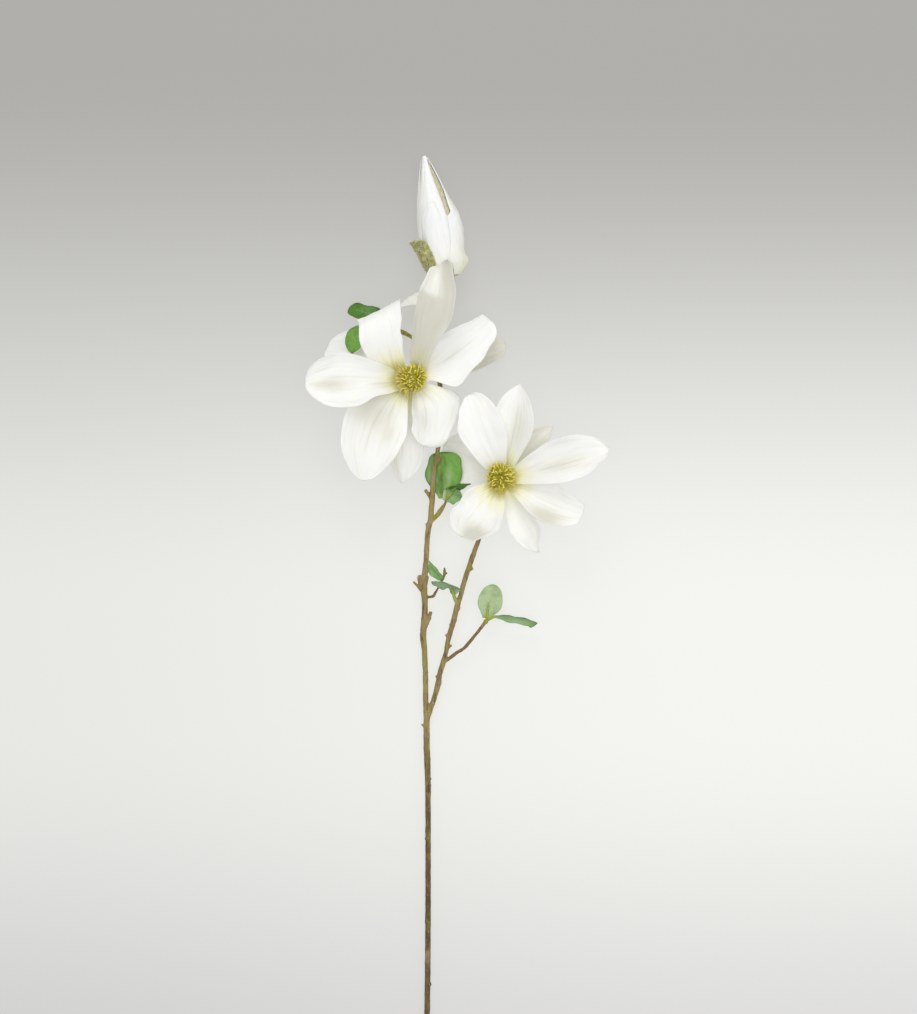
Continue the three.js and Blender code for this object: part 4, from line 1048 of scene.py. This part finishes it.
def filament(name, radius, length, sides, rings, bend, bulge):
    """A curled filament, thicker near its foot, that stands on the origin along +Z."""
    deselect()
    bpy.ops.mesh.primitive_cone_add(
        vertices=sides, radius1=radius, radius2=radius * 0.45, depth=length, location=(0, 0, length / 2))
    piece = named(name)
    bpy.ops.object.transform_apply(location=True, rotation=False, scale=False)
    bpy.ops.object.mode_set(mode="EDIT")
    for ring in range(1, rings):
        bpy.ops.mesh.select_all(action="SELECT")
        bpy.ops.mesh.bisect(plane_co=(0, 0, ring * length / rings), plane_no=(0, 0, 1))
    bpy.ops.object.mode_set(mode="OBJECT")
    points = points_of(piece)
    share = points[:, 2] / length
    points[:, :2] *= (1 + bulge * bump(share, 0.25, 0.22))[:, None]
    points[:, 0] += bend * share**2
    points[:, 2] -= bend * 0.4 * share**3
    move_points(piece, points)
    return piece


class MAGNOLIA_OT_cones(bpy.types.Operator):
    """Build the cone of carpels in each bloom and the stamens round it"""

    bl_idname = "magnolia.cones"
    bl_label = "Cones"

    def execute(self, context):
        look = context.scene.magnolia_cones
        finish = cone_finish("carpel_yellow", look.body, look.tip, look.dark)
        gold = cone_finish("stamen_gold", look.gold, look.tip, look.gold)
        for bloom_name, bloom in BLOOMS.items():
            turn, place = bloom_turn(bloom)
            size = bloom["cone"]
            place = place + turn @ bloom["offset"]

            def stretch(radius, height, angle, turn=turn, place=place, size=size):
                uneven = size * radius * (1 + 0.03 * np.cos(8 * angle + height))
                return settle(round_points(uneven, height, angle) @ turn.T + place)

            core = turned_piece(f"{bloom_name}_cone_core", CONE_CORE, CONE_GRID, stretch)
            store_even(core, reach=0.42, tone=0.5)
            declare(core, finish, "stamen", f"{bloom_name}_cone")
            carpels = self.carpels(look.carpels, bloom_name, turn, place, size)
            declare(carpels, finish, "stamen", f"{bloom_name}_cone")
            long_ones = look.stamens if bloom_name == "upper_bloom" else 0
            stamens = self.stamens(long_ones, bloom_name, turn, place, size)
            declare(stamens, gold, "stamen", f"{bloom_name}_cone")
        return {"FINISHED"}

    def carpels(self, count, bloom_name, turn, place, size):
        """Carpels all over the cone, spread like the seeds of a sunflower."""
        rng = np.random.default_rng(SEEDS["carpels"])
        places = []
        lowest = math.sin(math.radians(CARPEL_LOWEST))
        for i in range(count):
            climb = math.asin(1 - (1 - lowest) * (i + 0.5) / count)
            out = round_points(math.cos(climb), math.sin(climb), i * GOLDEN_ANGLE)
            start = out * size * (CARPEL_REACH + 0.2 * rng.normal()) + [0, 0, CARPEL_CENTRE]
            lean = out + rng.normal(0, 0.16, 3)
            places.append((settle(turn @ start + place), turn @ lean, size * rng.uniform(0.86, 1.1)))
        model = filament("carpel", **CARPEL_SHAPE)
        return scatter(f"{bloom_name}_carpels", model, places, SEEDS["carpel_turns"])

    def stamens(self, long_ones, bloom_name, turn, place, size):
        """Stamens: long ones fan out to the left of the cone, short ones ring it."""
        rng = np.random.default_rng(SEEDS["stamens"])
        places = []
        for i in range(long_ones):
            azimuth = math.radians(FAN_START + FAN_SPREAD * (i + 0.5) / long_ones)
            climb = math.radians(FAN_LOWEST + FAN_CLIMB * rng.uniform())
            out = round_points(1, 0, azimuth)
            start = out * STAMEN_START + [0, 0, STAMEN_HEIGHT - 4 * rng.uniform()]
            direction = round_points(math.cos(climb), math.sin(climb), azimuth) + rng.normal(0, 0.05, 3)
            places.append((settle(turn @ start + place), turn @ direction, rng.uniform(1, 1.35)))
        for i in range(RING_STAMENS):
            out = round_points(1, 0, math.radians(360 * (i + rng.uniform(0, 0.6)) / RING_STAMENS))
            start = out * RING_START * size + [0, 0, RING_HEIGHT + 3.5 * rng.uniform()]
            direction = out + [0, 0, rng.uniform(0.05, 0.4)]
            places.append((settle(turn @ start + place), turn @ direction, size * rng.uniform(0.66, 0.84)))
        model = filament("stamen", **STAMEN_SHAPE)
        return scatter(f"{bloom_name}_stamens", model, places, SEEDS["stamen_turns"])


def bud_frame():
    """The bud's foot, axis, side and up as unit vectors, and its length."""
    foot = spot(BUD_FOOT)
    whole = spot(BUD_TIP) - foot
    axis = unit(whole)
    side = unit(np.array([1, 0, 0]) - axis * axis[0])
    return foot, axis, side, np.cross(side, axis), np.linalg.norm(whole)


def bud_radius(share):
    """The bud's radius at a share of its length, its table smoothed."""
    places, radii = zip(*BUD_RADII)
    fine = np.linspace(0, 1, 201)
    rough = np.interp(fine, places, radii)
    window = np.ones(9) / 9
    smooth = np.convolve(np.pad(rough, 4, mode="edge"), window, mode="valid")
    smooth[:6] = rough[:6]
    return np.interp(share, fine, smooth)


def bud_point(along, angle, radius, flat=BUD_FLAT):
    """A place about the bud's axis, in millimetres before centring."""
    foot, axis, side, up, _ = bud_frame()
    ring = side * (radius * np.cos(angle))[..., None] + up * (radius * flat * np.sin(angle))[..., None]
    return foot + axis * along[..., None] + ring


def bud_petal(name, own, look, petals):
    """One petal wrapped round the bud, with fine ribs along it."""
    p = {**BUD_PETAL, **own}
    length = bud_frame()[4]

    def shape(u, v):
        place = p["start"] + (p["end"] - p["start"]) * u
        opened = 0.6 + 0.4 * np.sin(np.pi / 2 * np.clip(u / 0.42, 0, 1))
        spread = math.radians(p["half"]) * opened * (1 - 0.3 * u**4)
        spread = spread * (1 - p["tip"] * smoothstep(u, 0.66, 1) ** 2)
        opening = 0.7 * smoothstep(u, 0.38, 0.52) + 0.3 * smoothstep(u, 0.55, 0.85)
        spread = spread * np.where(v > 0, 1 - p["part"] * opening, 1) * np.where(v < 0, 1 - p["narrow"], 1)
        radius = np.maximum(bud_radius(place) + p["layer"] - 2, 1.4) + p["lift"] * u**6
        radius = radius - p["sink"] * smoothstep(-v, 0, 0.8)
        angle = math.radians(p["at"]) + v * spread
        facing = np.cos(angle)
        flank = smoothstep(facing, 0.6, 1)
        heel = bump(u, 0.1, 0.04) * bump(v, 0, 0.2) + flank * 1.15 * bump(u, 0.46, 0.14)
        heel = heel - flank * 0.6 * bump(u, 0.2, 0.05)
        heel = heel + 0.27 * smoothstep(facing, 0.2, 0.6) * (1 - smoothstep(u, 0.32, 0.46))
        relief = 0.25 * waves(u * 2, v * 1.5, p["half"], 1, 2) + p["heel"] * heel - 0.3 * np.abs(v) ** 6
        points = bud_point(place * length, angle, radius + relief)
        warm = 0.7 + 0.3 * np.cos(angle + 0.6)
        foot = (1 - smoothstep(place * length * (1 + 0.1 * waves(v, u, 4, 1, 2)), 6, 64)) * 0.62 * warm
        vein = fan_veins(u, v, p["at"], BUD_VEINS) * 0.5
        # Painted shade on the bud's left and right flanks, where it turns away from above, not near its
        # foot.
        dusk = (0.4 * bump(facing, -1, 0.35) + 0.3 * flank) * smoothstep(u, 0.2, 0.5)
        return settle(points), {"foot": foot, "vein": vein, "dusk": dusk}

    piece = sheet_piece(name, BUD_GRID, shape)
    thicken(piece, look.thickness, petals.edge)
    return piece


def bract_surface(own):
    """The surface of one bract, as a function of the place along and across it."""
    length = bud_frame()[4]

    def place(u, v):
        along = BRACT_START + own["length"] * u**1.4 * (1 + own["skew"] * v)
        spread = math.radians(own["half"]) * np.sqrt(1 - (u * 0.95) ** 8) * (1 - 0.25 * u)
        base = np.where(along < 0, BRACT_ROOT, bud_radius(along / length))
        lumps = 0.45 * waves(u * 3, v * 2, own["at"], 1, 2.5)
        radius = base + own["foot"] + own["flare"] * u**6 * (1 + 0.4 * v) + lumps
        return bud_point(along, math.radians(own["at"]) + v * spread, radius)

    return place


class MAGNOLIA_OT_bud(bpy.types.Operator):
    """Build the closed bud: its heart and the petals wrapped round it"""

    bl_idname = "magnolia.bud"
    bl_label = "Bud"

    def execute(self, context):
        look, petals = context.scene.magnolia_bud, context.scene.magnolia_petals
        length = bud_frame()[4]
        white = bpy.data.materials.get("petal_white") or petal_finish(petals)
        # The heart's khaki colours are painted shade: they stand in for the shaded inside of the slit.
        inner = grained_finish("bud_heart_olive", 0.6, 0.3, look.heart, look.shade, (1, 0.15, 1))
        outline = [(0, 0.012 * length), (8, 0.014 * length)]
        outline += [(max(r - HEART_INSET, 0.8), s * length) for s, r in BUD_RADII[1:-1]]
        outline += [(0, 0.955 * length)]

        def stretch(radius, height, angle):
            return settle(bud_point(height, angle, radius * (1 + 0.02 * np.cos(7 * angle))))

        heart = turned_piece("bud_heart", outline, HEART_GRID, stretch)
        store_even(heart, foot=0.4, vein=0.0, dusk=0.6)
        declare(heart, inner, "bud", "bud_petals")
        for petal, own in BUD_PETALS.items():
            piece = bud_petal(f"bud_petal_{petal}", own, look, petals)
            declare(piece, white, "bud", "bud_petals")
        return {"FINISHED"}


class MAGNOLIA_OT_bracts(bpy.types.Operator):
    """Build the hairy bracts and the cup that they grow from"""

    bl_idname = "magnolia.bracts"
    bl_label = "Bracts"

    def execute(self, context):
        look = context.scene.magnolia_bud
        felt, hair = bract_finish(look), hair_finish(look)
        foot, axis, *_ = bud_frame()

        def stretch(radius, height, angle):
            lumpy = radius * (1 + 0.05 * waves(height / 4, angle / 2, 9, 1, 2))
            return settle(bud_point(height, angle, lumpy, 1))

        cup = turned_piece("bract_cup", BRACT_CUP, CUP_GRID, stretch)
        declare(cup, felt, "bract", "bud_bracts")
        rng = np.random.default_rng(SEEDS["hairs"])
        places = []
        for bract, own in BRACTS.items():
            surface = bract_surface(own)
            piece = sheet_piece(f"bract_{bract}", BRACT_GRID, lambda u, v, s=surface: (settle(s(u, v)), {}))
            thicken(piece, BRACT_THICKNESS, BRACT_EDGE)
            declare(piece, felt, "bract", "bud_bracts")
            steps = np.linspace(0, 1, HAIR_ROWS), np.linspace(-1, 1, HAIR_ROWS)
            points = surface(*np.meshgrid(*steps, indexing="ij"))
            outward = surface_normals(points)
            towards = unit(np.gradient(points, axis=0))
            middle = foot + axis * ((points - foot) @ axis)[..., None]
            outward = outward * np.sign(np.sum(outward * (points - middle), -1))[..., None]
            for _ in range(look.hairs // len(BRACTS)):
                i, j = int(HAIR_ROWS * rng.uniform() ** 0.75), rng.integers(0, HAIR_ROWS)
                lean = outward[i, j] * rng.uniform(0.5, 1.1) + towards[i, j] + rng.normal(0, 0.25, 3)
                start = points[i, j] + outward[i, j] * 0.4 + rng.normal(0, 0.25, 3)
                places.append((settle(start), lean, rng.uniform(0.6, 1.2)))
        piece = scatter("bract_hairs", filament("hair", **HAIR_SHAPE), places, SEEDS["hair_turns"])
        declare(piece, hair, "bract", "bud_bracts")
        return {"FINISHED"}


def leaf_veins(u, v, p):
    """A midrib and curved side ribs, as one mask."""
    rib = bump(v * (1 + 2 * u), 0, 0.055) * (1 - smoothstep(u, 0.75, 1))
    slant = (u - 0.34 * np.abs(v) ** 1.2) * 9 + 0.15 * waves(u, v, p["phase"] + 3, 1, 2) + np.sign(v) * 0.2
    side = bump(slant, np.rint(slant), 0.09) * (1 - np.abs(v) ** 3)
    return np.maximum(rib, 0.55 * side * smoothstep(u, 0.05, 0.15))


def leaf_blade(name, p, foot):
    """A leaf's flat part, ribbed and a little quilted."""

    def shape(u, v):
        points = blade(u, v, p)
        vein = leaf_veins(u, v, p)
        quilt = 0.25 * waves(u * 4, np.abs(v) * 2, p["phase"] + 2, 1, 2.5)
        points = points + surface_normals(points) * (quilt - 0.22 * vein)[..., None]
        masks = {
            "vein": vein,
            "edge": np.maximum(np.abs(v) ** 12, smoothstep(u, 0.93, 1)),
            "foot": 1 - smoothstep(u, 0, 0.3),
            # Painted shade patches, and a painted pale highlight where the lights lie.
            "dusk": patch_mask(u, v, p["dusk"], p["shades"]),
            "shine": patch_mask(u, v, 0, p["lights"]),
        }
        return settle(points + foot), masks

    return sheet_piece(name, LEAF_GRID, shape)


def stalk_line(p, foot):
    """The line of a leaf's stalk: its own petiole, or from the twig and on under the blade."""
    if "petiole" in p:
        return smooth_line(p["petiole"], TWIG_SPACING)
    share = np.linspace(0, 0.7, RIB_STEPS)
    along, side = heading(share, np.zeros(RIB_STEPS), p)
    rib = blade(share, np.zeros(RIB_STEPS), p) + foot - np.cross(along, side) * RIB_DROP
    start = spot(p["stalk"])
    line = np.vstack([start, (start + foot) / 2, rib])
    return np.column_stack([line, np.concatenate([[0.95, 0.85], np.linspace(0.8, 0.25, RIB_STEPS)])])


class MAGNOLIA_OT_leaves(bpy.types.Operator):
    """Build the nine leaves, each with its stalk"""

    bl_idname = "magnolia.leaves"
    bl_label = "Leaves"

    def execute(self, context):
        look = context.scene.magnolia_leaves
        light_rib = tuple(0.55 * a + 0.45 * b for a, b in zip(look.rib, look.bright))
        # Each look is face, ribs, margin, roughness, and the colour of its painted highlight.
        looks = {
            "leaf_deep": (look.deep, look.bright, look.margin, 0.36, look.cool),
            "leaf_bright": (look.bright, light_rib, look.deep, 0.34, look.pale),
            "leaf_cool": (look.cool, look.pale, look.deep, 0.45, look.pale),
            "leaf_grey": (look.grey, look.pale, look.deep, 0.5, look.pale),
            "leaf_pale": (look.pale, look.rib, look.bright, 0.6, look.pale),
        }
        finishes = {name: leaf_finish(name, *tones) for name, tones in looks.items()}
        stalk_finish = grained_finish("leaf_stalk", 0.5, 0.4, look.rib, look.bright)
        for name, own in LEAVES.items():
            p = {**LEAF, **own}
            foot = spot(p["foot"])
            leaf = leaf_blade(f"{name}_blade", p, foot)
            for face in LEAF_FACES[name]:
                leaf.data.materials.append(finishes[face])
            thicken(leaf, look.thickness, LEAF_EDGE, under=1)
            stalk = tube(f"{name}_stalk", stalk_line(p, foot), TWIG_SIDES)
            pick(stalk)
            bpy.ops.object.shade_smooth()
            declare(leaf, None, "leaf", name)
            declare(stalk, stalk_finish, "leaf", name)
        return {"FINISHED"}


def bark_depth(point):
    """How far the bark stands out at a place: lumps, a grain along the stem and rings round it."""
    lumps = noise.fractal(point * BARK_LUMPS, 1, 2, 3)
    grain = noise.noise(point * BARK_GRAIN)
    rings = max(noise.noise(point * BARK_RINGS) - 0.32, 0)
    return lumps + 0.45 * grain + 1.6 * rings


class MAGNOLIA_OT_wood(bpy.types.Operator):
    """Build the stems, twigs, stubs and nodules as one rough-barked piece"""

    bl_idname = "magnolia.wood"
    bl_label = "Wood"

    def execute(self, context):
        look = context.scene.magnolia_wood
        bars = []
        for name, stations in LIMBS.items():
            bars.append(tube(name, smooth_line(stations, LIMB_SPACING), LIMB_SIDES, GROWTH))
        for number, (foot, end, thick, thin) in enumerate(STUBS):
            middle = [(a + b) / 2 for a, b in zip(foot, end)]
            stations = [[*foot, thick], [*middle, (thick + thin) / 2], [*end, thin]]
            bars.append(tube(f"stub_{number}", smooth_line(stations, TWIG_SPACING), TWIG_SIDES, GROWTH))
        wood = join("wood", *bars)
        finish_modifier(wood, "REMESH", mode="VOXEL", voxel_size=look.voxel, use_smooth_shade=True)
        pick(wood)
        bpy.ops.object.mode_set(mode="EDIT")
        bpy.ops.mesh.select_all(action="SELECT")
        bpy.ops.mesh.vertices_smooth(factor=0.5, repeat=3)
        bpy.ops.object.mode_set(mode="OBJECT")
        points = points_of(wood)
        normals = np.empty(points.size)
        wood.data.vertex_normals.foreach_get("vector", normals)
        depth = np.array([bark_depth(point) for point in points / MM])
        points = points + normals.reshape(-1, 3) * (depth * look.relief * MM)[:, None]
        points[:, 2] = np.maximum(points[:, 2], REST_HEIGHT * MM)
        move_points(wood, points)
        for mask, runs in (("young", YOUNG), ("dry", DRY)):
            nearest = np.full(len(points), 1e3)
            for limb, (start, end) in runs.items():
                line = smooth_line(LIMBS[limb], 2)[:, :3] + SHIFT
                for knot in line[int(len(line) * start):math.ceil(len(line) * end)]:
                    nearest = np.minimum(nearest, np.linalg.norm(points / MM - knot, axis=1))
            store(wood, mask, 1 - smoothstep(nearest, 2.2, 4))
        wood.data.shade_smooth()
        declare(wood, bark_finish(look), "bark", "branch")
        return {"FINISHED"}


class MAGNOLIA_OT_stage(bpy.types.Operator):
    """Set up the floor, the soft lights and the camera straight above"""

    bl_idname = "magnolia.stage"
    bl_label = "Stage"

    def execute(self, context):
        look = context.scene.magnolia_stage
        deselect()
        bpy.ops.mesh.primitive_plane_add(size=FLOOR_SIZE, location=(0, 0, 0))
        floor = named("floor")
        floor.data.materials.append(floor_finish(look))
        world = context.scene.world or bpy.data.worlds.new("room")
        context.scene.world = world
        world.use_nodes = True
        background = world.node_tree.nodes["Background"]
        background.inputs["Color"].default_value = ROOM_COLOUR
        background.inputs["Strength"].default_value = look.sky
        for name, (place, size) in LIGHTS.items():
            bpy.ops.object.light_add(type="AREA", location=place)
            light = named(name)
            light.data.energy = getattr(look, name)
            light.data.size = size
            aim = Vector(LIGHT_AIM) - light.location
            light.rotation_euler = aim.to_track_quat("-Z", "Y").to_euler()
        eye = tuple((SHIFT + [0, 0, EYE_HEIGHT]) * MM)
        bpy.ops.object.camera_add(location=eye, rotation=(0, 0, 0))
        camera = named("camera_above")
        camera.data.lens = LENS
        camera.data.sensor_width = SENSOR
        camera.data.clip_end = CLIP_END
        context.scene.camera = camera
        context.scene.view_settings.view_transform = "Standard"
        return {"FINISHED"}


class MAGNOLIA_PT_parts(bpy.types.Panel):
    """The branch's pieces, in the order that they are built"""

    bl_label = "Magnolia branch"
    bl_idname = "MAGNOLIA_PT_parts"
    bl_space_type = "VIEW_3D"
    bl_region_type = "UI"
    bl_category = "Magnolia"

    def draw(self, context):
        for operator in OPERATORS:
            self.layout.operator(operator.bl_idname)
        for group, settings in GROUPS.items():
            box = self.layout.box()
            for name in settings.__annotations__:
                box.prop(getattr(context.scene, group), name)


OPERATORS = (
    MAGNOLIA_OT_stage, MAGNOLIA_OT_wood, MAGNOLIA_OT_petals, MAGNOLIA_OT_receptacles, MAGNOLIA_OT_cones,
    MAGNOLIA_OT_bud, MAGNOLIA_OT_bracts, MAGNOLIA_OT_leaves,
)


def register():
    for cls in (*GROUPS.values(), *OPERATORS, MAGNOLIA_PT_parts):
        bpy.utils.register_class(cls)
    for group, settings in GROUPS.items():
        setattr(bpy.types.Scene, group, bpy.props.PointerProperty(type=settings))


def unregister():
    for group in GROUPS:
        delattr(bpy.types.Scene, group)
    for cls in (MAGNOLIA_PT_parts, *reversed(OPERATORS), *reversed(GROUPS.values())):
        bpy.utils.unregister_class(cls)


def main():
    register()
    bpy.ops.magnolia.stage()
    bpy.ops.magnolia.wood()
    bpy.ops.magnolia.petals()
    bpy.ops.magnolia.receptacles()
    bpy.ops.magnolia.cones()
    bpy.ops.magnolia.bud()
    bpy.ops.magnolia.bracts()
    bpy.ops.magnolia.leaves()
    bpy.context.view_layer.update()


if __name__ == "__main__":
    main()
